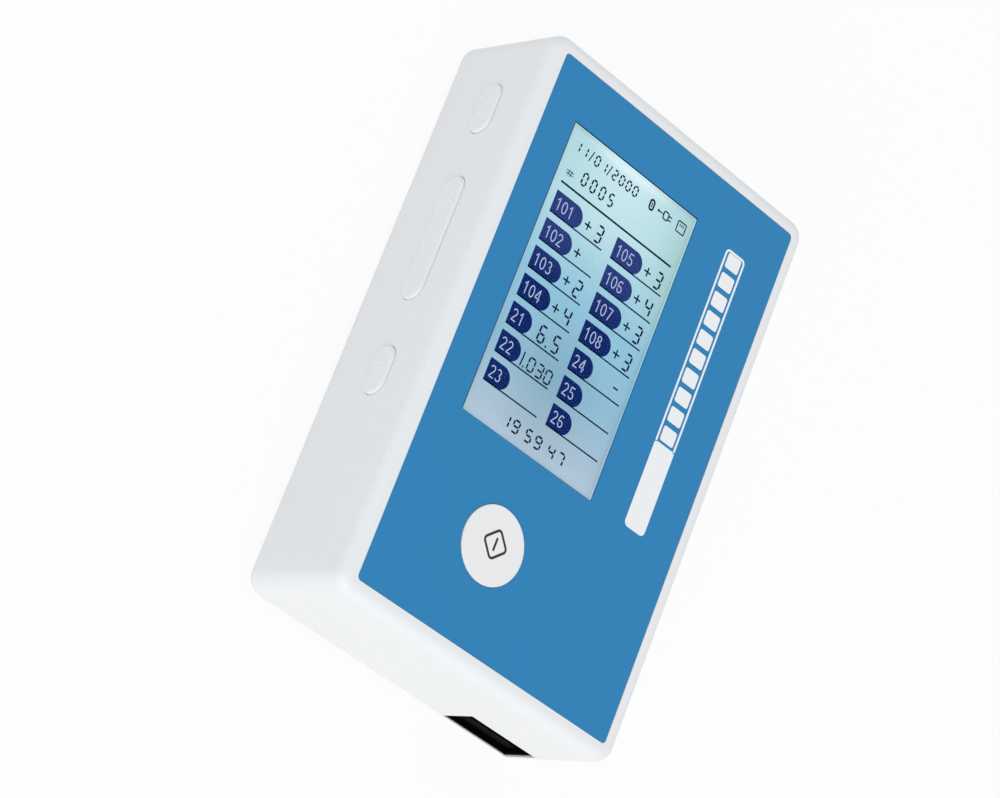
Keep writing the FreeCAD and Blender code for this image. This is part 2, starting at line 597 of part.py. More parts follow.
def edges_at_level(shape, level):
    """Names of the edges that lie wholly at one height."""
    return [f"Edge{index}" for index, edge in enumerate(shape.Edges, start=1)
            if all(abs(vertex.Z - level) < 1e-6 for vertex in edge.Vertexes)]


def fillet(body, base, edges, radius):
    """Round the edges of the body's last feature."""
    feature = body.newObject("PartDesign::Fillet", f"{base.Name}_round")
    feature.Base = (base, edges)
    bind(feature, "Radius", radius)
    doc.recompute()
    return feature


def plate_cut(body, name, place, width, height, depth, radius=None, forwards=False):
    """Cut a rectangle, seen from above, into the body at (x, y, level)."""
    sketch = new_sketch(body, name, "XY", *place)
    draw_rectangle(sketch, width, height, radius)
    return pocket(body, sketch, depth, forwards)


def plate_pad(body, name, place, width, height, depth, radius=None):
    """Grow a rectangle, seen from above, upwards from (x, y, level)."""
    sketch = new_sketch(body, name, "XY", *place)
    draw_rectangle(sketch, width, height, radius)
    return pad(body, sketch, depth)


def round_pads(body, name, places, diameter, level, length):
    """Grow round bosses upwards from a level."""
    sketch = new_sketch(body, name, "XY", "0", "0", level)
    draw_circles(sketch, places, diameter)
    return pad(body, sketch, length)


def round_cuts(body, name, places, diameter, level, depth):
    """Cut round holes upwards from a level."""
    sketch = new_sketch(body, name, "XY", "0", "0", level)
    draw_circles(sketch, places, diameter)
    return pocket(body, sketch, depth, True)


def solid_block(name, place, width, length, height):
    """A box centred on (x, y), standing on a level."""
    block = doc.addObject("Part::Box", name)
    bind(block, "Length", width)
    bind(block, "Width", length)
    bind(block, "Height", height)
    bind(block, "Placement.Base.x", f"{place[0]} - ({width}) / 2")
    bind(block, "Placement.Base.y", f"{place[1]} - ({length}) / 2")
    bind(block, "Placement.Base.z", place[2])
    return block


def solid_rod(name, place, diameter, height):
    """An upright cylinder on (x, y), standing on a level."""
    rod = doc.addObject("Part::Cylinder", name)
    bind(rod, "Radius", f"({diameter}) / 2")
    bind(rod, "Height", height)
    bind(rod, "Placement.Base.x", place[0])
    bind(rod, "Placement.Base.y", place[1])
    bind(rod, "Placement.Base.z", place[2])
    return rod


def side_rod(name, place, diameter, length):
    """A cylinder that runs along +X from (x, y, z)."""
    rod = solid_rod(name, place, diameter, length)
    rod.Placement = FreeCAD.Placement(Vector(0, 0, 0), FreeCAD.Rotation(Vector(0, 1, 0), 90))
    return rod


def fused(name, shapes):
    """One solid from several primitives."""
    fusion = doc.addObject("Part::MultiFuse", name)
    fusion.Shapes = shapes
    return fusion


def cut_away(name, base, tool):
    """A primitive with another taken away from it."""
    cut = doc.addObject("Part::Cut", name)
    cut.Base = base
    cut.Tool = tool
    return cut


def cross_screw(name, place, head, shank, recess, head_up=True):
    """A screw that seats on (x, y) at a level, with its head above and its shank below, or the reverse.

    Head and shank are a diameter and a length each, and the recess is a span, a slot width and a depth.
    """
    x, y, seat = place
    if head_up:
        head_level, shank_level = seat, f"({seat} - ({shank[1]}))"
        recess_level = f"({seat} + {head[1]} - {recess[2]})"
    else:
        head_level, shank_level = f"({seat} - {head[1]})", seat
        recess_level = head_level
    span, slot, depth = recess
    arms = [solid_block(f"{name}_slot_x", (x, y, recess_level), span, slot, depth),
            solid_block(f"{name}_slot_y", (x, y, recess_level), slot, span, depth)]
    disc = solid_rod(f"{name}_disc", (x, y, head_level), *head)
    stem = solid_rod(f"{name}_stem", (x, y, shank_level), *shank)
    return fused(name, [cut_away(f"{name}_head", disc, fused(f"{name}_cross", arms)), stem])


def grouped(name, members):
    """Identical pieces that share one node, each still a solid of its own."""
    group = doc.addObject("Part::Compound", name)
    group.Links = members
    return keep(name, group)


# ------------------------------------------------------------------ the case
def make_front_shell():
    """Upper half of the case: walls, face, openings, bosses and board posts."""
    body = new_body("front_shell")
    depth = f"({FACE} - {PARTING})"
    outer = plate_pad(body, "outer", ("0", "0", PARTING), "case_width", "case_height", depth,
                      "corner_radius")
    fillet(body, outer, edges_at_level(outer.Shape, size(FACE)), "face_fillet")
    plate_cut(body, "cavity", ("0", "0", PARTING), f"(2 * {INNER_X})", f"(2 * {INNER_Y})",
              f"{CEILING} - {PARTING}", LIP_RADIUS, forwards=True)
    plate_cut(body, "recess", ("0", "0", FACE), "(case_width - 2 * overlay_inset + 2 * fit_gap)",
              "(case_height - 2 * overlay_inset + 2 * fit_gap)", "overlay_recess", "overlay_radius")
    display = (DISPLAY_X, DISPLAY_Y)
    plate_cut(body, "window_seat", (*display, SKIN), "(display_width + 2 * window_border + 2 * fit_gap)",
              f"({DISPLAY_HEIGHT} + 2 * window_border + 2 * fit_gap)", "window_thickness")
    plate_cut(body, "window", (*display, SKIN), OPENING_WIDTH, OPENING_HEIGHT, "front_wall")
    round_cuts(body, "button_hole", [(BUTTON_X, BUTTON_Y)], "(button_diameter + 2 * button_gap)",
               CEILING, "front_wall")
    round_pads(body, "bosses", BOSSES, "boss_diameter", PARTING, f"{CEILING} - {PARTING}")
    round_cuts(body, "pilots", BOSSES, "(screw_diameter + 2 * pilot_wall)", PARTING,
               "screw_bite + 1")
    round_pads(body, "posts", POSTS, "post_diameter", BOARD_TOP, f"{CEILING} - {BOARD_TOP}")
    round_cuts(body, "post_pilots", POSTS, "(small_screw + 2 * pilot_wall)", BOARD_TOP,
               "small_bite + 1")
    for name, middle in (("power", POWER_Y), ("rocker", ROCKER_Y), ("menu", MENU_Y)):
        hole = new_sketch(body, f"{name}_hole", "YZ", middle, KEY_MIDDLE, LEFT)
        draw_slot(hole, f"({name}_length + 2 * key_gap)", "(key_width + 2 * key_gap)")
        pocket(body, hole, "side_wall", forwards=True)
    lug_reach = f"({EAR_IN} + lug_width / 2 - {WALL_IN})"
    plate_pad(body, "lug", (f"({WALL_IN} + {lug_reach} / 2)", ROCKER_Y, LUG_BOTTOM), lug_reach,
              "lug_width", "lug_height")
    round_cuts(body, "lug_hole", [(EAR_IN, ROCKER_Y)], "(pivot_diameter + 2 * pivot_gap)", LUG_BOTTOM,
               "lug_height")
    usb_middle = f"({BOARD_TOP} + usb_height / 2)"
    hole = new_sketch(body, "usb_hole", "XZ", "usb_x", usb_middle, UPPER)
    draw_rectangle(hole, "(usb_width + 2 * usb_gap)", "(usb_height + 2 * usb_gap)")
    pocket(body, hole, "side_wall", forwards=True)


def make_back_shell():
    """Lower half of the case: floor, lip, slot, bosses, posts, ribs and recesses."""
    body = new_body("back_shell")
    outer = plate_pad(body, "outer", ("0", "0", BACK), "case_width", "case_height", "back_depth",
                      "corner_radius")
    fillet(body, outer, edges_at_level(outer.Shape, size(BACK)), "back_fillet")
    plate_pad(body, "lip", ("0", "0", PARTING), f"(2 * {INNER_X} - 2 * shell_gap)",
              f"(2 * {INNER_Y} - 2 * shell_gap)", "lip_height", f"({LIP_RADIUS} - shell_gap)")
    plate_cut(body, "cavity", ("0", "0", FLOOR), f"(2 * {LIP_X})", f"(2 * {LIP_Y})",
              "back_depth + lip_height - floor_wall", "lip_thickness", forwards=True)
    keys_top = f"({POWER_Y} + power_length / 2 + key_ear + 1)"
    keys_bottom = f"({MENU_Y} - menu_length / 2 - key_ear - 1)"
    plate_cut(body, "key_relief", (f"(-{LIP_X})", f"(({keys_top} + {keys_bottom}) / 2)", PARTING),
              "(4 * lip_thickness)", f"({keys_top} - {keys_bottom})", "lip_height", forwards=True)
    round_pads(body, "bosses", BOSSES, "back_boss_diameter", FLOOR, f"{PARTING} - {FLOOR}")
    round_cuts(body, "head_seats", BOSSES, "(screw_head + 2 * screw_gap)", BACK, "screw_sunk")
    round_cuts(body, "screw_holes", BOSSES, "(screw_diameter + 2 * screw_gap)", BACK, "back_depth")
    slot = new_sketch(body, "slot", "XZ", SLOT_X, f"(({FLOOR} + {SLOT_TOP}) / 2)", LOWER)
    draw_rectangle(slot, "(guide_width + 2 * fit_gap)", f"({SLOT_TOP} - {FLOOR})")
    pocket(body, slot, f"case_height / 2 - {LIP_Y}")
    round_pads(body, "axle_boss", [(GEAR_X, GEAR_Y)], "axle_boss", FLOOR,
               f"{PINION_BOTTOM} - {FLOOR} - boss_gap")
    round_cuts(body, "axle_hole", [(GEAR_X, GEAR_Y)], "axle_diameter", f"({BACK} + axle_floor)",
               f"{PINION_BOTTOM} - {BACK}")
    round_pads(body, "tab_posts", GUIDE_TABS, "tab_width", FLOOR, "tab_post")
    round_cuts(body, "tab_pilots", GUIDE_TABS, "(small_screw + 2 * pilot_wall)",
               f"({TAB_LEVEL} - small_bite)", "small_bite")
    round_pads(body, "bracket_posts", BRACKET_ENDS, "bracket_arm", FLOOR, f"{BRACKET_BOTTOM} - {FLOOR}")
    round_cuts(body, "bracket_pilots", BRACKET_ENDS, "(small_screw + 2 * pilot_wall)",
               f"({BRACKET_BOTTOM} - small_bite - 1)", "small_bite + 1")
    bay_x = "(battery_width + 2 * rib_gap)"
    bay_y = "(battery_length + 2 * rib_gap)"
    battery = (BATTERY_X, BATTERY_Y, FLOOR)
    ring = new_sketch(body, "ribs", "XY", *battery)
    draw_rectangle(ring, f"({bay_x} + 2 * rib_thickness)", f"({bay_y} + 2 * rib_thickness)")
    draw_rectangle(ring, bay_x, bay_y)
    pad(body, ring, "rib_height")
    round_cuts(body, "foot_seats", FEET, "(foot_diameter + 2 * fit_gap)", BACK, "foot_sunk")
    plate_cut(body, "plate_seat", (PLATE_X, PLATE_Y, BACK), "(plate_width + 2 * fit_gap)",
              "(plate_height + 2 * fit_gap)", "plate_recess", forwards=True)
    make_sound_holes(body)


def make_sound_holes(body):
    """A ring of small holes through the floor under the buzzer, repeated round one sketched hole."""
    sketch = new_sketch(body, "sound_hole", "XY", f"{BUZZER_X} + hole_ring", BUZZER_Y, BACK)
    draw_circles(sketch, [("0", "0")], "hole_diameter")
    hole = pocket(body, sketch, "floor_wall", forwards=True)
    centre = new_sketch(body, "sound_centre", "XY", BUZZER_X, BUZZER_Y, BACK)
    doc.recompute()
    pattern = body.newObject("PartDesign::PolarPattern", f"{body.Name}_sound_holes")
    pattern.Originals = [hole]
    pattern.Axis = (centre, ["N_Axis"])
    pattern.Angle = 360
    bind(pattern, "Occurrences", "hole_count")
    body.Tip = pattern
    doc.recompute()


def make_overlay():
    """Printed sheet in the recess of the face, open at the display and round the start button."""
    body = new_body("front_overlay")
    plate_pad(body, "sheet", ("0", "0", SKIN), "(case_width - 2 * overlay_inset)",
              "(case_height - 2 * overlay_inset)", "overlay_thickness", "overlay_radius")
    plate_cut(body, "window", (DISPLAY_X, DISPLAY_Y, SKIN), "display_width", DISPLAY_HEIGHT,
              "overlay_thickness", forwards=True)
    round_cuts(body, "button_hole", [(BUTTON_X, BUTTON_Y)], "(button_diameter + 2 * button_gap)",
               SKIN, "overlay_thickness")


def make_case_fittings():
    """Case screws, rubber feet and the bare rating plate."""
    seat = f"({BACK} + screw_sunk)"
    grouped("case_screws", [
        cross_screw(f"case_screw_{index}", (x, y, seat), ("screw_head", "screw_head_height"),
                    ("screw_diameter", f"{PARTING} - {seat} + screw_bite"),
                    ("screw_cross", "screw_slot", "screw_cross_depth"), head_up=False)
        for index, (x, y) in enumerate(BOSSES)])
    feet = [solid_rod(f"foot_{index}", (x, y, "0"), "foot_diameter", "foot_proud + foot_sunk")
            for index, (x, y) in enumerate(FEET)]
    grouped("rubber_feet", feet)
    plate_level = f"({BACK} + plate_recess - plate_thickness)"
    keep("rating_plate", solid_block("rating_plate", (PLATE_X, PLATE_Y, plate_level),
                                     "plate_width", "plate_height", "plate_thickness"))


# ------------------------------------------------------------------ the display
def make_display():
    """Window sheet, gasket, glass, backlight, frame and flex."""
    place = (DISPLAY_X, DISPLAY_Y)
    keep("display_window", solid_block("display_window", (*place, WINDOW_BOTTOM),
                                       "display_width + 2 * window_border",
                                       f"{DISPLAY_HEIGHT} + 2 * window_border", "window_thickness"))
    keep("display_glass", solid_block("display_glass", (*place, GLASS_BOTTOM),
                                      f"{OPENING_WIDTH} - 2 * display_gap",
                                      f"{OPENING_HEIGHT} - 2 * display_gap", "glass_thickness"))
    keep("display_backlight", solid_block("display_backlight", (*place, LIGHT_BOTTOM), LIGHT_WIDTH,
                                          LIGHT_HEIGHT, "light_thickness"))
    gasket = new_body("display_gasket")
    level = f"({CEILING} - gasket_gap - gasket_thickness + flex_thickness)"
    plate_pad(gasket, "sheet", (*place, level), LIGHT_WIDTH, LIGHT_HEIGHT,
              "gasket_thickness - flex_thickness")
    plate_cut(gasket, "opening", (*place, level), f"({OPENING_WIDTH} + 2 * display_gap)",
              f"({OPENING_HEIGHT} + 2 * display_gap)", "gasket_thickness", forwards=True)
    frame = new_body("display_frame")
    frame_floor = f"({LIGHT_BOTTOM} - frame_floor)"
    plate_pad(frame, "outer", (*place, BOARD_TOP), FRAME_WIDTH, FRAME_HEIGHT, f"{LIGHT_TOP} - {BOARD_TOP}")
    plate_cut(frame, "light_bay", (*place, LIGHT_BOTTOM), f"({LIGHT_WIDTH} + 2 * fit_gap)",
              f"({LIGHT_HEIGHT} + 2 * fit_gap)", f"{LIGHT_TOP} - {LIGHT_BOTTOM}", forwards=True)
    plate_cut(frame, "under", (*place, BOARD_TOP), f"({LIGHT_WIDTH} + 2 * fit_gap)",
              f"({LIGHT_HEIGHT} + 2 * fit_gap)", f"{frame_floor} - {BOARD_TOP}", forwards=True)
    glass_end = f"({DISPLAY_TOP} + glass_lap - display_gap)"
    frame_end = f"({DISPLAY_Y} + {FRAME_HEIGHT} / 2)"
    reach = f"({frame_end} - {glass_end} + flex_thickness)"
    over = solid_block("flex_over", (DISPLAY_X, f"({glass_end} + {reach} / 2)", LIGHT_TOP),
                       "flex_width", reach, "flex_thickness")
    down = solid_block("flex_down", (DISPLAY_X, f"({frame_end} + flex_thickness / 2)", BOARD_TOP),
                       "flex_width", "flex_thickness", f"{LIGHT_TOP} - {BOARD_TOP} + flex_thickness")
    keep("display_flex", fused("display_flex", [over, down]))


# ------------------------------------------------------------------ boards and what is on them
def make_main_board():
    """Main board with notches at the case bosses, holes at its screws and its larger parts."""
    body = new_body("main_board")
    height = f"(2 * ({INNER_Y} - board_margin))"
    plate_pad(body, "outline", (f"(({BOARD_LEFT} + {BOARD_RIGHT}) / 2)", "0", BOARD_BOTTOM),
              f"({BOARD_RIGHT} - {BOARD_LEFT})", height, "board_thickness")
    half = "(boss_diameter / 2 + board_notch)"
    corner_x = f"({BOSS_X} + board_margin)"
    corner_y = f"({BOSS_Y} + board_margin)"
    corners = [(f"-{corner_x}", corner_y), (corner_x, corner_y), (f"-{corner_x}", f"-{corner_y}")]
    for index, (x, y) in enumerate(corners):
        plate_cut(body, f"corner_{index}", (x, y, BOARD_BOTTOM), f"(2 * {half} + 2 * board_margin)",
                  f"(2 * {half} + 2 * board_margin)", "board_thickness", forwards=True)
    plate_cut(body, "notch", (BOSSES[3][0], f"-{corner_y}", BOARD_BOTTOM),
              f"(2 * {half})", f"(2 * {half} + 2 * board_margin)", "board_thickness", forwards=True)
    round_cuts(body, "screw_holes", POSTS, "(small_screw + 2 * screw_gap)", BOARD_BOTTOM,
               "board_thickness")
    grouped("board_screws", [
        cross_screw(f"board_screw_{index}", (x, y, BOARD_BOTTOM), SMALL_HEAD,
                    ("small_screw", "board_thickness + small_bite"), SMALL_CROSS, head_up=False)
        for index, (x, y) in enumerate(POSTS)])
    chip_level = f"({BOARD_BOTTOM} - chip_height)"
    chips_x = f"({LEFT} + chips_from_left)"
    processor = (chips_x, f"({UPPER} - processor_from_top)", chip_level)
    memory = (chips_x, f"({UPPER} - memory_from_top)", chip_level)
    driver = (f"({LEFT} + driver_from_left)", f"({UPPER} - driver_from_top)", chip_level)
    grouped("board_chips", [
        solid_block("processor", processor, "processor_size", "processor_size", "chip_height"),
        solid_block("memory", memory, "memory_width", "memory_length", "chip_height"),
        solid_block("motor_driver", driver, "driver_size", "driver_size", "chip_height"),
    ])
    radio = (f"({LEFT} + radio_from_left)", f"({UPPER} - radio_from_top)",
             f"{BOARD_BOTTOM} - radio_height")
    keep("radio_module", solid_block("radio_module", radio, "radio_width", "radio_length",
                                     "radio_height"))
    keep("buzzer", solid_rod("buzzer", (BUZZER_X, BUZZER_Y, f"{BOARD_BOTTOM} - buzzer_height"),
                             "buzzer_diameter", "buzzer_height"))


def make_connector():
    """Connector in the upper end: a metal shell, closed at the back, round a tongue."""
    shell = new_body("usb_shell")
    face = f"({UPPER} - usb_sunk)"
    middle = f"({BOARD_TOP} + usb_height / 2)"
    sketch = new_sketch(shell, "outer", "XZ", "usb_x", middle, face)
    draw_rectangle(sketch, "usb_width", "usb_height")
    pad(shell, sketch, "usb_length")
    socket = new_sketch(shell, "socket", "XZ", "usb_x", middle, face)
    draw_rectangle(socket, "(usb_width - 2 * usb_thickness)", "(usb_height - 2 * usb_thickness)")
    pocket(shell, socket, "usb_length - usb_thickness", forwards=True)
    tongue_length = "(usb_length - usb_thickness - usb_tongue_inset)"
    tongue = ("usb_x", f"({face} - usb_tongue_inset - {tongue_length} / 2)",
              f"{middle} - usb_tongue_height / 2")
    keep("usb_tongue", solid_block("usb_tongue", tongue, "usb_tongue_width", tongue_length,
                                   "usb_tongue_height"))


def make_start_button():
    """Start button with its retaining flange and stem, and the switch that it presses."""
    body = new_body("start_button")
    flange_top = f"({CEILING} - flange_gap)"
    flange_bottom = f"({flange_top} - button_flange_thickness)"
    switch_top = f"({BOARD_TOP} + start_switch_height)"
    plunger_top = f"({switch_top} + start_plunger_out)"
    centre = [(BUTTON_X, BUTTON_Y)]
    round_pads(body, "stem", centre, "button_stem", plunger_top, f"{flange_bottom} - {plunger_top}")
    round_pads(body, "flange", centre, "(button_diameter + 2 * button_flange)", flange_bottom,
               "button_flange_thickness")
    cap = round_pads(body, "cap", centre, "button_diameter", flange_top,
                     f"{FACE} + button_proud - {flange_top}")
    fillet(body, cap, edges_at_level(cap.Shape, size(f"{FACE} + button_proud")), "button_proud")
    switch = solid_block("start_switch_case", (*centre[0], BOARD_TOP), "start_switch_size",
                         "start_switch_size", "start_switch_height")
    well_bottom = f"({switch_top} - start_plunger_in - button_travel - plunger_room)"
    well = solid_rod("start_switch_well", (*centre[0], well_bottom), "button_stem + 2 * plunger_gap",
                     f"{switch_top} - {well_bottom} + 1")
    keep("start_switch", cut_away("start_switch", switch, well))
    keep("start_plunger", solid_rod("start_plunger", (*centre[0], f"{switch_top} - start_plunger_in"),
                                    "button_stem", "start_plunger_in + start_plunger_out"))


def make_side_key(name, middle, nibs):
    """A side key: a pill through the wall, ears that hold it in, and nibs at the given places."""
    body = new_body(f"{name}_key")
    length = f"{name}_length"
    pill = new_sketch(body, "pill", "YZ", middle, KEY_MIDDLE, EAR_OUT)
    draw_slot(pill, length, "key_width")
    face = pad(body, pill, f"{EAR_OUT} - {LEFT} + key_proud", backwards=True)
    outer = size(f"{LEFT} - key_proud")
    edges = [f"Edge{index}" for index, edge in enumerate(face.Shape.Edges, start=1)
             if all(abs(vertex.X - outer) < 1e-6 for vertex in edge.Vertexes)]
    fillet(body, face, edges, "key_round")
    ears = new_sketch(body, "ears", "YZ", middle, KEY_MIDDLE, EAR_OUT)
    draw_rectangle(ears, f"({length} + 2 * key_ear)", "(key_width - 2 * key_ear_inset)")
    pad(body, ears, "key_ear_thickness")
    nib_sketch = new_sketch(body, "nibs", "YZ", "0", KEY_MIDDLE, EAR_IN)
    draw_circles(nib_sketch, [(place, "0") for place, reach in nibs], "plunger_diameter")
    pad(body, nib_sketch, nibs[0][1])
    return body


def make_side_switch(name, middle):
    """A small square switch on the key board, with a blind well for its plunger."""
    case = solid_block(f"{name}_case", (f"({SWITCH_OUT} + switch_depth / 2)", middle,
                                        f"{KEY_MIDDLE} - switch_size / 2"),
                       "switch_depth", "switch_size", "switch_size")
    well = side_rod(f"{name}_well", (f"{SWITCH_OUT} - 1", middle, KEY_MIDDLE),
                    "plunger_diameter + 2 * plunger_gap", "plunger_in + key_travel + 1.2")
    return cut_away(name, case, well)


def make_side_keys():
    """The three keys of the left side, their switches, plungers and board."""
    finger = "(key_nib - rocker_gap)"
    make_side_key("power", POWER_Y, [(POWER_Y, "key_nib")])
    make_side_key("menu", MENU_Y, [(MENU_Y, "key_nib")])
    rocker = make_side_key("rocker", ROCKER_Y, [(place, finger) for place in ROCKER_SWITCHES])
    pivot_bottom = f"({KEY_MIDDLE} - key_width / 2 + key_ear_inset)"
    round_pads(rocker, "pivot", [(EAR_IN, ROCKER_Y)], "pivot_diameter", pivot_bottom,
               f"{LUG_BOTTOM} + lug_height - {pivot_bottom}")
    switches = [("power_switch", POWER_Y), ("up_switch", ROCKER_SWITCHES[1]),
                ("down_switch", ROCKER_SWITCHES[0]), ("menu_switch", MENU_Y)]
    grouped("side_switches", [make_side_switch(name, middle) for name, middle in switches])
    length = "plunger_out + plunger_in"
    for name, middle in (("power", POWER_Y), ("menu", MENU_Y)):
        keep(f"{name}_plunger", side_rod(f"{name}_plunger", (NIB_IN, middle, KEY_MIDDLE),
                                         "plunger_diameter", length))
    grouped("rocker_plungers", [side_rod(f"rocker_plunger_{index}", (NIB_IN, middle, KEY_MIDDLE),
                                         "plunger_diameter", length)
                                for index, middle in enumerate(ROCKER_SWITCHES)])
    top = f"({POWER_Y} + switch_size / 2 + key_board_margin)"
    bottom = f"({MENU_Y} - switch_size / 2 - key_board_margin)"
    keep("key_board", solid_block("key_board", (f"({SWITCH_IN} + key_board_thickness / 2)",
                                                f"(({top} + {bottom}) / 2)",
                                                f"{KEY_MIDDLE} - key_width / 2 - 1"),
                                  "key_board_thickness", f"({top} - {bottom})",
                                  f"{BOARD_BOTTOM} - ({KEY_MIDDLE} - key_width / 2 - 1) - fit_gap"))


# ------------------------------------------------------------------ the strip tray and its guide
def make_guide():
    """Square tube that the tray runs in, open at both ends, at the pinion and under the optics."""
    body = new_body("tray_guide")
    middle = f"(({FLOOR} + {GUIDE_TOP}) / 2)"
    tube = new_sketch(body, "tube", "XZ", SLOT_X, middle, GUIDE_REAR)
    draw_rectangle(tube, "guide_width", "guide_height")
    draw_rectangle(tube, CHANNEL_WIDTH, "(guide_height - 2 * guide_wall)")
    pad(body, tube, f"{GUIDE_REAR} - {GUIDE_MOUTH}")
    opening = "(rack_module * (pinion_teeth + 2) + 1)"
    plate_cut(body, "pinion_opening", (GUIDE_LEFT, GEAR_Y, f"({PINION_BOTTOM} - pinion_clear)"),
              "(4 * guide_wall)", opening, "pinion_width + 2 * pinion_clear", forwards=True)
    plate_cut(body, "aperture", (SLOT_X, HEAD_Y, f"({GUIDE_TOP} - 2 * guide_wall)"),
              "aperture_width", "aperture_length", "2 * guide_wall", forwards=True)
    for name, (x, y) in zip(("front_tab", "rear_tab"), GUIDE_TABS):
        plate_pad(body, name, (x, y, TAB_LEVEL), "tab_width", "tab_length", "tab_thickness")
    round_cuts(body, "tab_holes", GUIDE_TABS, "(small_screw + 2 * screw_gap)", TAB_LEVEL,
               "tab_thickness")
    grouped("guide_screws", [
        cross_screw(f"guide_screw_{index}", (x, y, f"({TAB_LEVEL} + tab_thickness)"), SMALL_HEAD,
                    ("small_screw", "guide_bite + tab_thickness"), SMALL_CROSS)
        for index, (x, y) in enumerate(GUIDE_TABS)])


def make_tray():
    """Strip tray: groove and drip well on top, rack in the left edge, flag at the rear."""
    body = new_body("strip_tray")
    middle_y = f"(({TRAY_FRONT} + {TRAY_REAR}) / 2)"
    plate_pad(body, "plate", (SLOT_X, middle_y, TRAY_BOTTOM), TRAY_WIDTH, TRAY_LENGTH,
              "tray_thickness")
    groove_y = f"({TRAY_FRONT} + groove_lip + {GROOVE_LENGTH} / 2)"
    plate_cut(body, "groove", (SLOT_X, groove_y, TRAY_TOP), "groove_width", GROOVE_LENGTH,
              "groove_depth")
    well_y = f"({TRAY_FRONT} + groove_lip + well_length / 2)"
    plate_cut(body, "well", (SLOT_X, well_y, TRAY_TOP), "well_width", "well_length", "well_depth")
    plate_cut(body, "reference_seat", (SLOT_X, REFERENCE_Y, TRAY_TOP),
              "(reference_size + 2 * fit_gap)", "(reference_size + 2 * fit_gap)", "reference_depth")
    plate_pad(body, "flag", (FLAG_X, f"({TRAY_REAR} + flag_length / 2)", TRAY_BOTTOM), "flag_width",
              "flag_length", "tray_thickness")
    cut_rack(body)
    keep("white_reference", solid_block("white_reference",
                                        (SLOT_X, REFERENCE_Y, f"{TRAY_TOP} - reference_depth"),
                                        "reference_size", "reference_size",
                                        "reference_depth + reference_proud"))


def cut_rack(body):
    """Rack: one tooth gap in the left edge, repeated both ways from the gap at the pinion."""
    slope = "tan(20)"
    tip_half = f"(pi * rack_module / 4 + backlash / 2 + rack_module * {slope})"
    root_half = f"(pi * rack_module / 4 + backlash / 2 - 1.25 * rack_module * {slope})"
    sketch = new_sketch(body, "rack_gap", "XY", TRAY_LEFT, GEAR_Y, TRAY_BOTTOM)
    over = 0.5
    over_half = f"({tip_half} + {over} * {slope})"
    draw_polygon(sketch, [
        (f"-{over}", f"-{over_half}"),
        ("2.25 * rack_module", f"-{root_half}"),
        ("2.25 * rack_module", root_half),
        (f"-{over}", over_half),
    ])
    gap = pocket(body, sketch, "tray_thickness", forwards=True)
    pitch = math.pi * size("rack_module")
    rear_count = int(size("tray_travel + 3 * rack_module") / pitch) + 2
    front_count = 3
    for name, count, backwards in (("rear", rear_count, False), ("front", front_count, True)):
        pattern = body.newObject("PartDesign::LinearPattern", f"{body.Name}_rack_{name}")
        pattern.Originals = [gap]
        pattern.Direction = (sketch, ["V_Axis"])
        pattern.Reversed = backwards
        pattern.Occurrences = count
        bind(pattern, "Length", f"pi * rack_module * {count - 1}")
        body.Tip = pattern
        doc.recompute()


# ------------------------------------------------------------------ gears and motor
def involute_point(base, radius):
    """Polar angle of the involute of a base circle, where it reaches a radius."""
    if radius <= base:
        return 0.0
    roll = math.sqrt((radius / base) ** 2 - 1)
    return roll - math.atan(roll)


def flank(base, low, high, turn, side):
    """One tooth flank as a curve through six points of the involute, turned to its place."""
    points = []
    for step in range(6):
        radius = low + (high - low) * step / 5
        angle = turn + side * involute_point(base, radius)
        points.append(Vector(radius * math.cos(angle), radius * math.sin(angle), 0))
    curve = Part.BSplineCurve()
    curve.interpolate(points)
    return curve.toShape(), points[0], points[-1]


def gear_shape(teeth, module, width, play, turn=0.0):
    """Spur gear about Z, standing on the origin, with a tooth at the given angle from +X."""
    pitch = module * teeth / 2
    base = pitch * math.cos(math.radians(20))
    tip = pitch + 0.9 * module
    root = pitch - 1.2 * module
    low = max(base, root) + 0.01 * module
    half = math.pi / (2 * teeth) - play / (4 * pitch) + involute_point(base, pitch)
    edges = []
    ends = []
    for tooth in range(teeth):
        middle = turn + 2 * math.pi * tooth / teeth
        right, right_low, right_high = flank(base, low, tip, middle - half, 1)
        left, left_low, left_high = flank(base, low, tip, middle + half, -1)
        crest = Vector(tip * math.cos(middle), tip * math.sin(middle), 0)
        edges += [right, Part.Arc(right_high, crest, left_high).toShape(), left]
        ends.append((middle, right_low, left_low))
    for tooth in range(teeth):
        start = ends[tooth][2]
        end = ends[(tooth + 1) % teeth][1]
        start_root = start * (root / start.Length)
        end_root = end * (root / end.Length)
        valley_angle = ends[tooth][0] + math.pi / teeth
        valley = Vector(root * math.cos(valley_angle), root * math.sin(valley_angle), 0)
        edges += [Part.LineSegment(start, start_root).toShape(),
                  Part.Arc(start_root, valley, end_root).toShape(),
                  Part.LineSegment(end_root, end).toShape()]
    outline = Part.Wire(Part.__sortEdges__(edges))
    return Part.Face(outline).extrude(Vector(0, 0, width))


def shaped(name, shape, x, y, level):
    """A sub-part whose shape is made directly, moved to its place afterwards."""
    feature = doc.addObject("Part::Feature", name)
    feature.Shape = shape
    bind(feature, "Placement.Base.x", x)
    bind(feature, "Placement.Base.y", y)
    bind(feature, "Placement.Base.z", level)
    return keep(name, feature)


def motor_pinion_turn():
    """Angle that sets a tooth of the motor pinion in the wheel's tooth gap on the line of centres."""
    line = math.radians(size("motor_angle"))
    wheel_pitch = 2 * math.pi / size("gear_teeth")
    gap = wheel_pitch / 2
    offset = (gap - line) % wheel_pitch
    if offset > wheel_pitch / 2:
        offset -= wheel_pitch
    ratio = size("gear_teeth") / size("motor_teeth")
    return line + math.pi - offset * ratio


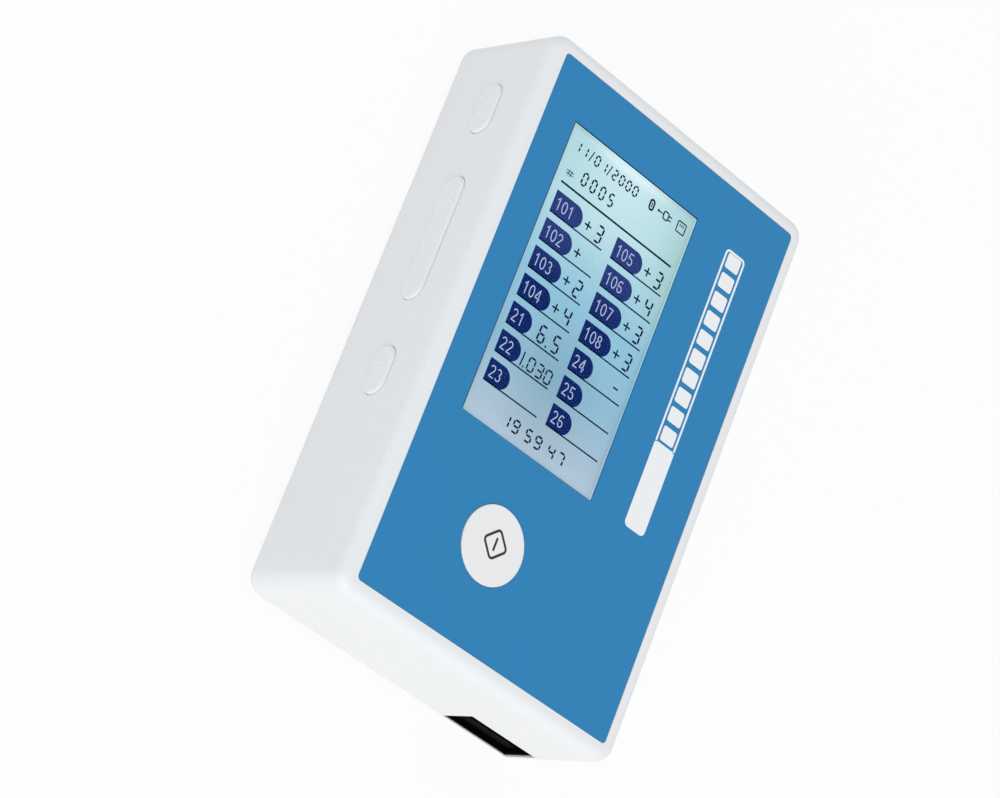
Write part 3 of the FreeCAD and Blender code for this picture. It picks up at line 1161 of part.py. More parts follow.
def make_drive():
    """Compound drive gear on its axle, and the motor with its pinion and bracket."""
    play = size("backlash")
    wheel_level = size(f"{GEAR_BOTTOM} - {PINION_BOTTOM}")
    pinion = gear_shape(int(size("pinion_teeth")), size("rack_module"), size("pinion_width"), play)
    wheel = gear_shape(int(size("gear_teeth")), size("gear_module"), size("gear_width"), play)
    wheel.translate(Vector(0, 0, wheel_level))
    hub = Part.makeCylinder(size("hub_diameter") / 2, wheel_level)
    bore = Part.makeCylinder(size("axle_diameter + 2 * axle_gap") / 2,
                             wheel_level + size("gear_width") + 2, Vector(0, 0, -1))
    gear = pinion.fuse([hub, wheel]).cut(bore).removeSplitter()
    shaped("drive_gear", gear, GEAR_X, GEAR_Y, PINION_BOTTOM)
    axle_bottom = f"({BACK} + axle_floor)"
    axle_top = f"({GEAR_TOP} + axle_end)"
    keep("gear_axle", solid_rod("gear_axle", (GEAR_X, GEAR_Y, axle_bottom), "axle_diameter",
                                f"{axle_top} - {axle_bottom}"))
    ring = solid_rod("axle_clip_disc", (GEAR_X, GEAR_Y, f"{GEAR_TOP} + clip_gap"), "clip_diameter",
                     "clip_thickness")
    ring_hole = solid_rod("axle_clip_hole", (GEAR_X, GEAR_Y, GEAR_TOP), "axle_diameter", "2")
    keep("axle_clip", cut_away("axle_clip", ring, ring_hole))
    motor = solid_rod("motor_can", (MOTOR_X, MOTOR_Y, MOTOR_BOTTOM), "motor_diameter",
                      f"{BRACKET_BOTTOM} - {MOTOR_BOTTOM}")
    shaft_bottom = f"({MOTOR_BOTTOM} + shaft_lift)"
    shaft_well = solid_rod("motor_well", (MOTOR_X, MOTOR_Y, f"{shaft_bottom} - shaft_end"),
                           "motor_shaft + 2 * shaft_gap", f"{BRACKET_BOTTOM} - {shaft_bottom} + 1")
    keep("motor_body", cut_away("motor_body", motor, shaft_well))
    pinion_top = f"({GEAR_BOTTOM} + motor_pinion_width)"
    keep("motor_shaft", solid_rod("motor_shaft", (MOTOR_X, MOTOR_Y, shaft_bottom), "motor_shaft",
                                  f"{pinion_top} - {shaft_bottom} + shaft_end"))
    small = gear_shape(int(size("motor_teeth")), size("gear_module"), size("motor_pinion_width"), play,
                       motor_pinion_turn())
    shaft_bore = Part.makeCylinder(size("motor_shaft") / 2, size("motor_pinion_width") + 2,
                                   Vector(0, 0, -1))
    shaped("motor_pinion", small.cut(shaft_bore), MOTOR_X, MOTOR_Y, GEAR_BOTTOM)
    make_motor_bracket()


def make_motor_bracket():
    """Sheet bracket across the top of the motor, and its two screws."""
    body = new_body("motor_bracket")
    round_pads(body, "disc", [(MOTOR_X, MOTOR_Y)], "0.8 * motor_diameter", BRACKET_BOTTOM,
               "bracket_thickness")
    arm = new_sketch(body, "arm", "XY", MOTOR_X, MOTOR_Y, BRACKET_BOTTOM)
    draw_slot(arm, "(2 * bracket_reach + bracket_arm)", "bracket_arm")
    bind(arm, "AttachmentOffset.Rotation.Angle", "motor_angle + 90 - 180")
    pad(body, arm, "bracket_thickness")
    round_cuts(body, "holes", BRACKET_ENDS, "(small_screw + 2 * screw_gap)", BRACKET_BOTTOM,
               "bracket_thickness")
    round_cuts(body, "shaft_hole", [(MOTOR_X, MOTOR_Y)], "(2 * motor_shaft)", BRACKET_BOTTOM,
               "bracket_thickness")
    grouped("motor_screws", [
        cross_screw(f"motor_screw_{index}", (x, y, BRACKET_TOP), SMALL_HEAD,
                    ("small_screw", "small_bite + bracket_thickness"), SMALL_CROSS)
        for index, (x, y) in enumerate(BRACKET_ENDS)])


# ------------------------------------------------------------------ optics, sensor and battery
def make_optics():
    """Optical head over the guide: black block, lens, lamps, detector, board and flex."""
    body = new_body("optical_head")
    place = (SLOT_X, HEAD_Y)
    plate_pad(body, "block", (*place, GUIDE_TOP), "head_width", "head_length", HEAD_HEIGHT)
    round_cuts(body, "lens_bore", [place], "lens_diameter", LENS_BOTTOM, f"{HEAD_TOP} - {LENS_BOTTOM}")
    round_cuts(body, "lens_stop", [place], "(lens_diameter - 1)", GUIDE_TOP,
               f"{LENS_BOTTOM} - {GUIDE_TOP}")
    lamps = [(f"({SLOT_X} - lamp_place)", HEAD_Y), (f"({SLOT_X} + lamp_place)", HEAD_Y)]
    round_cuts(body, "lamp_bores", lamps, "(lamp_diameter + 4 * fit_gap)", GUIDE_TOP, HEAD_HEIGHT)
    keep("optics_lens", solid_rod("optics_lens", (*place, LENS_BOTTOM), "lens_diameter",
                                  "lens_thickness"))
    lamp_height = f"(lamp_share * {HEAD_HEIGHT})"
    grouped("optics_lamps", [solid_rod(f"lamp_{index}", (x, y, f"{HEAD_TOP} - {lamp_height}"),
                                       "lamp_diameter", lamp_height)
                             for index, (x, y) in enumerate(lamps)])
    keep("photodiode", solid_block("photodiode", (*place, f"{HEAD_TOP} - detector_height"),
                                   "detector_size", "detector_size", "detector_height"))
    keep("optics_board", solid_block("optics_board", (*place, HEAD_TOP), "head_width",
                                     "head_length", "optics_board_thickness"))
    flex_y = f"({HEAD_Y} + head_length / 2 - flex_thickness / 2)"
    keep("optics_flex", solid_block("optics_flex", (SLOT_X, flex_y, OPTICS_TOP),
                                    "0.6 * head_width", "flex_thickness", "optics_gap"))


def make_position_sensor():
    """Fork-shaped light barrier that the tray's flag enters when the tray is drawn in."""
    width = "(flag_width + 2 * sensor_gap + 2 * sensor_wall)"
    sensor_y = f"({TRAY_REAR} + flag_length - sensor_length / 2 + sensor_lead)"
    fork = solid_block("sensor_block", (FLAG_X, sensor_y, FLOOR), width, "sensor_length",
                       "sensor_height")
    throat = solid_block("sensor_throat", (FLAG_X, sensor_y, f"{TRAY_BOTTOM} - sensor_drop"),
                         "flag_width + 2 * sensor_gap", "sensor_length + 1", "sensor_height")
    keep("position_sensor", cut_away("position_sensor", fork, throat))


def make_battery():
    """Flat battery in its bay, and the flex from its end up to the main board."""
    body = new_body("battery")
    plate_pad(body, "pack", (BATTERY_X, BATTERY_Y, BATTERY_BOTTOM), "battery_width",
              "battery_length", "battery_thickness", "battery_radius")
    lap_y = f"({BATTERY_END} - battery_flex_lap / 2)"
    lie = solid_block("battery_flex_lie", (BATTERY_X, lap_y, BATTERY_TOP), "battery_flex_width",
                      "battery_flex_lap", "flex_thickness")
    rise = solid_block("battery_flex_rise",
                       (BATTERY_X, f"({BATTERY_END} - flex_thickness / 2)", BATTERY_TOP),
                       "battery_flex_width", "flex_thickness", f"{BOARD_BOTTOM} - {BATTERY_TOP}")
    keep("battery_flex", fused("battery_flex", [lie, rise]))


# ------------------------------------------------------------------ whole document
def check_and_write():
    """Refuse a failed or empty shape, then write every sub-part."""
    doc.recompute()
    for thing in doc.Objects:
        if "Invalid" in thing.State or "Error" in thing.State:
            raise RuntimeError(f"{thing.Name} has failed: {thing.State}")
    os.makedirs("parts", exist_ok=True)
    for piece in PIECES:
        shape = piece.Shape
        if shape.isNull() or not shape.isValid() or not shape.Solids:
            raise RuntimeError(f"{piece.Label} has no valid solid")
        shape.exportStep(f"parts/{piece.Label}.step")
        print(f"{piece.Label}: {len(shape.Solids)} solid(s), {shape.Volume:.1f} mm3")


fill_sheet()
make_front_shell()
make_back_shell()
make_overlay()
make_case_fittings()
make_display()
make_main_board()
make_connector()
make_start_button()
make_side_keys()
make_guide()
make_tray()
make_drive()
make_optics()
make_position_sensor()
make_battery()
check_and_write()
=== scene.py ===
"""Finish, printing and studio of the urine analyzer, laid out as an add-on and run as a script."""

import math

import bpy
import numpy as np
from bpy.props import FloatProperty, FloatVectorProperty, PointerProperty
from mathutils import Euler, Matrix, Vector


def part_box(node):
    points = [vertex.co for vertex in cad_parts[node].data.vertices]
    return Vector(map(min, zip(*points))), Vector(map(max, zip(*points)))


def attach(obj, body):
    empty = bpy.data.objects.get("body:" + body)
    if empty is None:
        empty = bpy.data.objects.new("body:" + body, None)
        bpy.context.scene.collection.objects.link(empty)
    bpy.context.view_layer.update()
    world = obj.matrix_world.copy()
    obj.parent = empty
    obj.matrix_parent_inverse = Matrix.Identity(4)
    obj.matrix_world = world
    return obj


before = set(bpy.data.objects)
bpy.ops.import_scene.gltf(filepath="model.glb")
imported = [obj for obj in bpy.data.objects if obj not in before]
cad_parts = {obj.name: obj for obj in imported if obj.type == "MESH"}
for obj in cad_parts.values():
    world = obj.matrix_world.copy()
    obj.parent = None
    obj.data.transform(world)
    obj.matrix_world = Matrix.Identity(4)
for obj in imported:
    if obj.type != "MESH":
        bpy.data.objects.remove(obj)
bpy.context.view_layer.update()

bl_info = {
    "name": "Urine analyzer finish",
    "version": (1, 0, 0),
    "blender": (4, 5, 0),
    "location": "3D View > Sidebar > Analyzer",
    "description": "Dresses the packed urine analyzer: plastics, film, segment display, key marks, studio",
    "category": "Object",
}

MM = 0.001
GLASS_LOW, GLASS_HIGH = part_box("display_glass")
FILM_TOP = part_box("front_overlay")[1].z
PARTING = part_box("front_shell")[0].z  # where the two shells meet
BUTTON_LOW, BUTTON_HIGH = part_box("start_button")
SUNK = 0.005 * MM  # a mark's foot lies this deep in what carries it, so no two faces share a plane
LAP = 0.6 * MM  # glass hidden under the edge of the film, each side
VIEW_LOW, VIEW_HIGH = GLASS_LOW + Vector((LAP, LAP, 0)), GLASS_HIGH - Vector((LAP, LAP, 0))


# ------------------------------------------------------------------ values a user may change
def length(label, millimetres, description):
    """A length property, written in millimetres and kept in metres."""
    return FloatProperty(name=label, description=description, default=millimetres * MM,
                         precision=5, subtype="DISTANCE", unit="LENGTH")


def linear(hex_colour):
    """The linear red, green and blue of an sRGB colour written as six hex digits."""
    channels = np.array([int(hex_colour[i:i + 2], 16) / 255 for i in (0, 2, 4)])
    low, high = channels / 12.92, ((channels + 0.055) / 1.055) ** 2.4
    return tuple(float(v) for v in np.where(channels <= 0.04045, low, high))


def tint(label, hex_colour, description):
    """A colour property, written as sRGB hex and kept linear."""
    return FloatVectorProperty(name=label, description=description, default=linear(hex_colour),
                               size=3, min=0.0, max=1.0, subtype="COLOR")


class DisplaySizes(bpy.types.PropertyGroup):
    """What the display shows, measured right and down from the upper left corner of all its marks."""
    marks_right: length("Marks right", -0.05, "corner of the marks from the left side of the window")
    marks_down: length("Marks down", 0.48, "corner of the marks from the upper side of the window")
    film_depth: length("Polariser", 0.02, "thickness of the polarising film on the glass")
    film_border: length("Polariser border", 0.09, "polarising film beyond the glass, each side")
    print_depth: length("Print depth", 0.03, "thickness of every printed or driven mark")
    # Painted shade: the border below is a dark line that stands in for the shadow along the cut edge of the
    # film, wider on the left and top.
    border_weight: length("Border weight", 0.4, "dark line on the window, in part hidden by the film")
    border_right: length("Border right", 0.13, "middle of that line to the right of the film's edge")
    border_down: length("Border down", 0.05, "middle of that line below the film's edge")
    left_column: length("Left column", 2.72, "left badges from the left side")
    right_column: length("Right column", 21.22, "right badges from the left side")
    first_row: length("First row", 14.02, "top of the first badges")
    row_pitch: length("Row pitch", 6.42, "from one row of badges to the next")
    badge_height: length("Badge height", 4.91, "badge, and the diameter of its round end")
    badge_long: length("Long badge", 8.55, "badges of the first four rows")
    badge_short: length("Short badge", 6.36, "badges of the last three rows")
    badge_corner: length("Badge corner", 0.15, "corner radius of a badge's square end")
    row_rule: length("Row rule", 15.8, "thin rule under each row")
    row_rule_weight: length("Row rule weight", 0.31, "thickness of the thin rules")
    head_rule_drop: length("Head rule", 12.0, "thick rule from the top")
    head_rule: length("Head rule length", 34.1, "thick rule under the heading")
    head_rule_weight: length("Head rule weight", 0.42, "thickness of the thick rule")
    number_inset: length("Number inset", 0.75, "a badge's number from the left end of the badge")
    number_height: length("Badge number", 2.8, "height of the numbers in the badges")
    number_weight: length("Number weight", 0.25, "line of the numbers in the badges")


class MarkSizes(bpy.types.PropertyGroup):
    """Marks on the button, the keys and the film."""
    start_half: length("Start mark", 2.3, "half the side of the square that stands on its corner")
    start_radius: length("Start mark corner", 0.8, "corner radius of that square")
    start_bar: length("Start bar", 1.2, "half the upright bar inside the square")
    start_weight: length("Start weight", 0.56, "line of the start mark")
    start_right: length("Start mark right", 0.3, "start mark to the right of the button's middle")
    start_up: length("Start mark up", 0.45, "start mark above the button's middle")
    key_weight: length("Key weight", 0.5, "line of the marks raised on the keys")
    key_relief: length("Key relief", 0.09, "how far the key marks stand up")
    power_ring: length("Power ring", 1.5, "radius of the ring on the power key")
    power_bar: length("Power bar", 0.7, "half the bar that crosses that ring")
    power_bar_up: length("Power bar up", 1.1, "middle of that bar above the ring's middle")
    arrow_arm: length("Arrow arm", 1.0, "half of each of the two arms of an arrowhead")
    arrow_spread: length("Arrow spread", 0.7, "middle of an arm from the middle of its arrowhead")
    arrow_place: length("Arrow place", 9.25, "arrowheads above and below the point between them")
    arrow_drop: length("Arrow drop", 0.5, "that point below the middle of the rocker")
    page_corner: length("Page corner", 0.45, "corner radius of the page on the menu key")
    page_wide: length("Page width", 0.75, "half the width of that page, less its corner radius")
    page_tall: length("Page height", 1.05, "half the height of that page, less its corner radius")
    strip_length: length("Strip sign length", 65.0, "reagent strip printed beside the display")
    strip_width: length("Strip sign width", 6.0, "width of that strip")
    strip_centre: length("Strip sign place", 23.6, "middle of that strip from the middle of the case")
    strip_start: length("Strip sign start", -17.6, "lower end of that strip")
    film_ink: length("Ink", 0.02, "thickness of the white ink on the film")


class FinishColours(bpy.types.PropertyGroup):
    """Colours of the surfaces that show."""
    case: tint("Case", "EAECEE", "white ABS of both shells")
    key: tint("Keys", "EAECEE", "white ABS of the side keys")
    button: tint("Button", "EDEDED", "polished white ABS of the start button")
    film: tint("Front film", "2280B8", "blue printed behind the front film")
    # Painted shade: colour of the dark line that stands in for the shadow along the film's cut edge.
    border: tint("Window border", "052441", "line printed on the window along the film")
    ink: tint("White ink", "F2F4F6", "white printed on the film")
    mark: tint("Mark ink", "050506", "black ink of the start mark")
    ground_top: tint("Display top", "AFD3D9", "upper corners of the display")
    ground_glow: tint("Display glow", "E8FAFD", "display next to the lamps of its backlight")
    ground_middle: tint("Display middle", "8CBDD4", "middle of the display")
    ground_low: tint("Display low", "8BB5CB", "darkest place of the display, far from its lamps")
    ground_bottom: tint("Display bottom", "AFC5D6", "lower edge of the display")
    ground_right: tint("Display right", "98BCB8", "right edge of the display, high up")
    segment: tint("Segments", "021A42", "driven segments and rules")
    badge: tint("Badges", "08286C", "printed badges")
    badge_top: tint("Upper badges", "2D4085", "badges near the lamps")
    number: tint("Badge numbers", "BAC6EC", "numbers left open in the badges")


class StudioValues(bpy.types.PropertyGroup):
    """Floor, lamps and camera."""
    floor_half: FloatProperty(name="Floor", description="half the side of the floor", default=3.0,
                              subtype="DISTANCE", unit="LENGTH")
    floor_drop: length("Floor drop", 0.05, "floor below the feet, so that the two never share a plane")
    sky: FloatProperty(name="Sky", description="level of the light from all round", default=0.8, min=0.0)
    sky_tint: FloatVectorProperty(name="Sky tint", description="hue of the light from all round", size=3,
                                  default=(0.985, 1.0, 1.02))
    lamp: FloatProperty(name="Lamp", description="power of the soft lamp", default=10.0, min=0.0,
                        unit="POWER")
    lamp_colour: FloatVectorProperty(name="Lamp colour", description="warm white of the soft lamp", size=3,
                                     default=(1.0, 0.975, 0.93), min=0.0, max=1.0, subtype="COLOR")
    lamp_size: FloatProperty(name="Lamp size", description="side of the soft lamp", default=1.4,
                             subtype="DISTANCE", unit="LENGTH")
    lamp_place: FloatVectorProperty(name="Lamp place", description="where the soft lamp hangs", size=3,
                                    default=(-0.45, -1.35, 0.95), subtype="TRANSLATION", unit="LENGTH")
    camera_place: FloatVectorProperty(name="Camera place", description="where the camera stands", size=3,
                                      default=(-0.4527, -0.2804, 0.6059), subtype="TRANSLATION",
                                      unit="LENGTH")
    camera_turn: FloatVectorProperty(name="Camera turn", description="turn of the camera about X, Y and Z",
                                     size=3, subtype="EULER", unit="ROTATION",
                                     default=(math.radians(3.0976), math.radians(-41.4328),
                                              math.radians(27.1909)))
    focal_length: FloatProperty(name="Focal length", description="of the camera, in millimetres",
                                default=140.95, min=1.0)


GROUPS = {"analyzer_display": DisplaySizes, "analyzer_marks": MarkSizes, "analyzer_colours": FinishColours,
          "analyzer_studio": StudioValues}


# ------------------------------------------------------------------ shapes
def swept_bars(paths, widths, low, high, closed=False):
    """Flat bars swept along paths.

    Each row of paths is a line of stations. At a station the bar reaches half its width to the right and
    left, along the mean of the normals of the runs that meet there, divided by the cosine of half their
    turn, so its sides stay parallel to the runs. The section is the rectangle from low to high. Neighbouring
    stations are joined by quads, and the ends of an open bar are closed by one quad each.
    """
    paths = np.asarray(paths, float)
    count, stations = paths.shape[:2]
    widths = np.broadcast_to(np.asarray(widths, float), (count, stations))
    runs = (np.roll(paths, -1, axis=1) if closed else paths[:, 1:]) - (paths if closed else paths[:, :-1])
    runs /= np.linalg.norm(runs, axis=2, keepdims=True)
    normals = np.stack([-runs[..., 1], runs[..., 0]], axis=2)
    before = np.roll(normals, 1, axis=1) if closed else np.concatenate([normals[:, :1], normals], axis=1)
    after = normals if closed else np.concatenate([normals, normals[:, -1:]], axis=1)
    mean = before + after
    mean /= np.linalg.norm(mean, axis=2, keepdims=True)
    reach = mean * (widths / 2 / np.sum(mean * after, axis=2))[..., None]
    sides = np.stack([paths - reach, paths + reach, paths + reach, paths - reach], axis=2)
    levels = np.broadcast_to(np.array([low, low, high, high]), (count, stations, 4))
    points = np.concatenate([sides, levels[..., None]], axis=3).reshape(-1, 3)
    index = np.arange(count * stations * 4).reshape(count, stations, 4)
    here = index if closed else index[:, :-1]
    there = np.roll(index, -1, axis=1) if closed else index[:, 1:]
    turned_here, turned_there = np.roll(here, -1, axis=2), np.roll(there, -1, axis=2)
    faces = [np.stack([here, turned_here, turned_there, there], axis=3).reshape(-1, 4)]
    if not closed:
        faces += [index[:, 0, ::-1], index[:, -1]]
    return points, np.concatenate(faces)


def joined(parts):
    """One shape from several: points one after another, and face indices moved on by the points before."""
    starts = np.cumsum([0] + [len(points) for points, _ in parts[:-1]])
    faces = [faces + start for (_, faces), start in zip(parts, starts)]
    return np.concatenate([points for points, _ in parts]), np.concatenate(faces)


def slab(start, end, width, start_radius, end_radius, low, high, steps=14):
    """A flat plate along one line with rounded corners.

    Over the first start_radius the width is the full width less twice (r - root of r squared less (r - s)
    squared), where s is the distance from the end, and the same holds at the other end: each corner is a
    quarter circle.
    """
    start, end = np.asarray(start, float), np.asarray(end, float)
    whole = np.linalg.norm(end - start)
    turn = np.linspace(0.06, math.pi / 2, steps)
    first = start_radius * (1 - np.cos(turn))
    last = whole - end_radius * (1 - np.cos(turn[::-1]))
    inner = width - 2 * start_radius + 2 * start_radius * np.sin(turn)
    outer = width - 2 * end_radius + 2 * end_radius * np.sin(turn[::-1])
    along = np.concatenate([first, last])
    path = start + (end - start) * (along / whole)[:, None]
    return swept_bars(path[None], np.concatenate([inner, outer])[None], low, high)


def arc_points(centre, radius, start, end, steps=32):
    """Stations on a circle: the centre plus the radius times the cosine and sine of angles in even steps."""
    angle = np.radians(np.linspace(start, end, steps))
    return np.asarray(centre, float) + radius * np.stack([np.cos(angle), np.sin(angle)], axis=1)


def round_outline(centre, half_x, half_y, radius, steps=7):
    """Stations round a rectangle with round corners: four quarter circles, anticlockwise."""
    corners = np.array([(1, 1), (-1, 1), (-1, -1), (1, -1)]) * (half_x - radius, half_y - radius)
    quarters = [arc_points(corner, radius, 90 * i, 90 * (i + 1), steps) for i, corner in enumerate(corners)]
    return np.asarray(centre, float) + np.concatenate(quarters)


SEGMENTS_LIT = {"0": "abcdef", "1": "bc", "2": "abged", "3": "abgcd", "4": "fgbc", "5": "afgcd",
                "6": "afgedc", "7": "abc", "8": "abcdefg", "9": "abcdfg", " ": ""}
LEAN = math.tan(math.radians(3))  # of the digits on the display, to the right


def segment_bars(names, corner, width, height, weight, low, high):
    """The bars of one seven-segment digit.

    Level bars run across the cell at its top, middle and foot, and upright ones along its sides. Each stops
    short of the crossing of their middle lines by a gap, narrows to a blunt point over half its weight, and
    the cell leans to the right.
    """
    half, gap = weight / 2, weight * 0.28
    left, right, top, middle, foot = half, width - half, height - half, height / 2, half
    across = (left + gap, right - gap)
    ends = {"a": ((across[0], top), (across[1], top)), "g": ((across[0], middle), (across[1], middle)),
            "d": ((across[0], foot), (across[1], foot)),
            "f": ((left, middle + gap), (left, top - gap)), "e": ((left, foot + gap), (left, middle - gap)),
            "b": ((right, middle + gap), (right, top - gap)),
            "c": ((right, foot + gap), (right, middle - gap))}
    if not names:
        return []
    spans = np.array([ends[name] for name in names])
    run = spans[:, 1] - spans[:, 0]
    run /= np.linalg.norm(run, axis=1, keepdims=True)
    inset = np.array([0, 0.45, 0.45, 0])[None, :, None] * weight * np.array([1, 1, -1, -1])[None, :, None]
    paths = spans[:, [0, 0, 1, 1]] + inset * run[:, None]
    bars = swept_bars(paths, weight * np.array([[0.2, 1, 1, 0.2]]), low, high)
    bars[0][:, 0] += bars[0][:, 1] * LEAN
    bars[0][:, :2] += np.asarray(corner, float) - (0, height)
    return [bars]


def digits(text, corner, width, pitch, height, weight, low, high, unlit=False):
    """The lit bars of a row of seven-segment digits, or with unlit the bars that stay open."""
    parts = []
    for place, character in enumerate(text):
        names = SEGMENTS_LIT[character]
        if unlit:
            names = "".join(name for name in "abcdefg" if name not in names)
        cell = (corner[0] + place * pitch, corner[1])
        parts += segment_bars(names, cell, width, height, weight, low, high)
    return parts


def oval(centre, across, up, start, end, steps=24):
    """Stations on an ellipse: the centre plus its two half axes times the cosine and sine of even angles."""
    return np.asarray(centre, float) + arc_points((0, 0), 1.0, start, end, steps) * (across, up)


def numeral_strokes():
    """The middle lines of plain upright numerals in a cell 1 high: open lines or, where marked, rings."""
    hook = np.concatenate([oval((0.30, 0.52), 0.225, 0.42, 48, 180), [(0.075, 0.32)]])
    crown = np.concatenate([oval((0.265, 0.71), 0.195, 0.225, 165, -30), [(0.08, 0.09)]])
    return {
        "0": [(oval((0.275, 0.5), 0.215, 0.44, 0, 345), True)],
        "1": [([(0.12, 0.74), (0.30, 0.91)], False), ([(0.32, 0.0), (0.32, 1.0)], False)],
        "2": [(crown, False), ([(0.04, 0.06), (0.5, 0.06)], False)],
        "3": [(oval((0.25, 0.735), 0.18, 0.205, 150, -90), False),
              (oval((0.25, 0.29), 0.21, 0.235, 90, -150), False)],
        "4": [([(0.36, 0.92), (0.06, 0.32)], False), ([(0.04, 0.28), (0.54, 0.28)], False),
              ([(0.40, 0.0), (0.40, 1.0)], False)],
        "5": [([(0.12, 0.94), (0.49, 0.94)], False), ([(0.14, 0.9), (0.10, 0.48)], False),
              (oval((0.26, 0.315), 0.215, 0.26, 135, -150), False)],
        "6": [(hook, False), (oval((0.28, 0.3), 0.205, 0.24, 0, 345), True)],
        "7": [([(0.05, 0.94), (0.51, 0.94)], False), ([(0.47, 0.9), (0.2, 0.0)], False)],
        "8": [(oval((0.275, 0.74), 0.17, 0.2, 0, 345), True),
              (oval((0.275, 0.28), 0.205, 0.235, 0, 345), True)],
    }


def number_bars(text, corner, height, weight, low, high):
    """A plain number: the numerals' middle lines scaled to a height, set side by side and swept as bars."""
    strokes = numeral_strokes()
    bars = []
    for place, character in enumerate(text):
        foot = np.asarray(corner, float) + (place * 0.64 * height, 0)
        bars += [swept_bars((foot + np.asarray(line, float) * height)[None], weight, low, high, ring)
                 for line, ring in strokes[character]]
    return bars


def make_piece(name, shapes, body, material):
    """Puts shapes into one mesh object at the origin, and hands it to the frame."""
    points, faces = joined(shapes)
    mesh = bpy.data.meshes.new(name)
    mesh.from_pydata(points.tolist(), [], faces.tolist())
    piece = bpy.data.objects.new(name, mesh)
    bpy.context.scene.collection.objects.link(piece)
    mesh.materials.append(material)
    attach(piece, body)
    return piece


# ------------------------------------------------------------------ nodes
def add(tree, kind, inputs=None, **settings):
    """Adds a node, gives it its settings, and fills its inputs with values or other nodes' outputs."""
    node = tree.nodes.new(kind)
    for name, value in settings.items():
        setattr(node, name, value)
    for name, value in (inputs or {}).items():
        if isinstance(value, bpy.types.NodeSocket):
            tree.links.new(value, node.inputs[name])
        else:
            node.inputs[name].default_value = value
    return node


def new_material(name, surface, *values):
    """A node material: surface is a function of the node tree that returns the shader to show."""
    material = bpy.data.materials.new(name)
    material.use_nodes = True
    tree = material.node_tree
    tree.nodes.clear()
    add(tree, "ShaderNodeOutputMaterial", {"Surface": surface(tree, *values)})
    return material


BLACK, WHITE = (0.0, 0.0, 0.0), (1.0, 1.0, 1.0)


def opaque(colour):
    """A colour with full cover."""
    return (*colour, 1.0)


def times(colour, factor):
    """A colour made darker or lighter, kept within 0 and 1."""
    return tuple(min(1.0, channel * factor) for channel in colour)


def place_in_mm(tree, centre=(0, 0, 0), turn=(0, 0, 0)):
    """Object coordinates in millimetres from a centre, turned by degrees."""
    point = add(tree, "ShaderNodeTexCoord").outputs["Object"]
    moved = add(tree, "ShaderNodeVectorMath", {0: point, 1: Vector(centre) * MM}, operation="SUBTRACT")
    return add(tree, "ShaderNodeMapping", {"Vector": moved.outputs[0], "Scale": (1000, 1000, 1000),
                                           "Rotation": [math.radians(angle) for angle in turn]}).outputs[0]


def blend(tree, share, first, second, how="MIX"):
    """A mix of two colours or colour outputs, share being the part of the second."""
    first, second = (value if isinstance(value, bpy.types.NodeSocket) else opaque(value)
                     for value in (first, second))
    return add(tree, "ShaderNodeMix", {0: share, 6: first, 7: second}, data_type="RGBA",
               blend_type=how).outputs[2]


def mottled(tree, point, size, dark, light):
    """Two near colours in soft clouds of a size in millimetres."""
    cloud = add(tree, "ShaderNodeTexNoise", {"Vector": point, "Scale": 1 / size, "Detail": 3.0})
    return blend(tree, cloud.outputs[0], dark, light)


def grained(tree, point, size, depth, strength=1.0):
    """A relief of round grains of a size and a depth in millimetres."""
    grain = add(tree, "ShaderNodeTexNoise", {"Vector": point, "Scale": 1 / size, "Detail": 2.0})
    return add(tree, "ShaderNodeBump", {"Height": grain.outputs[0], "Distance": depth * MM,
                                        "Strength": strength}).outputs[0]


def line_mask(tree, point, half, radius, weight, edge=0.06):
    """1 on a line and 0 beside it, in the XY plane of a place in millimetres.

    The line is every place whose distance from a box of the given half sizes is the radius, within half the
    weight. A radius of 0 and one half size of 0 make a straight bar, and half sizes of 0 make a ring. The
    mask falls from 1 to 0 over the width of the edge.
    """
    level = add(tree, "ShaderNodeVectorMath", {0: point, 1: (1, 1, 0)}, operation="MULTIPLY")
    folded = add(tree, "ShaderNodeVectorMath", {0: level.outputs[0]}, operation="ABSOLUTE")
    beyond = add(tree, "ShaderNodeVectorMath", {0: folded.outputs[0], 1: (*half, 0)}, operation="SUBTRACT")
    outside = add(tree, "ShaderNodeVectorMath", {0: beyond.outputs[0], 1: (0, 0, 0)}, operation="MAXIMUM")
    away = add(tree, "ShaderNodeVectorMath", {0: outside.outputs[0]}, operation="LENGTH")
    off = add(tree, "ShaderNodeMath", {0: away.outputs["Value"], 1: radius}, operation="SUBTRACT")
    off = add(tree, "ShaderNodeMath", {0: off.outputs[0]}, operation="ABSOLUTE")
    return add(tree, "ShaderNodeMapRange", {"Value": off.outputs[0], "From Min": weight / 2 + edge / 2,
                                            "From Max": weight / 2 - edge / 2},
               interpolation_type="SMOOTHSTEP").outputs[0]


def both(tree, first, second):
    """The union of two masks."""
    return add(tree, "ShaderNodeMath", {0: first, 1: second}, operation="MAXIMUM").outputs[0]


# ------------------------------------------------------------------ materials of the housing
def moulded_abs(tree, colour, seam):
    """ABS, injection moulded in a spark-eroded tool: near-white, satin, with a fine even grain.

    The real grain is about 0.1 mm, drawn as 0.45 mm so that it shows. A hairline runs where the shells meet.
    """
    point = place_in_mm(tree)
    on_edge = place_in_mm(tree, (0, 0, seam), (90, 0, 0))
    hairline = line_mask(tree, on_edge, (1000, 0), 0, weight=0.14, edge=0.1)
    shade = mottled(tree, point, 30, times(colour, 0.985), colour)
    groove = add(tree, "ShaderNodeBump", {"Height": hairline, "Distance": 0.012 * MM,
                                          "Normal": grained(tree, point, 0.45, 0.004)}, invert=True)
    return add(tree, "ShaderNodeBsdfPrincipled", {
        "Base Color": blend(tree, hairline, shade, times(colour, 0.95)), "Roughness": 0.42, "IOR": 1.53,
        "Normal": groove.outputs[0]}).outputs[0]


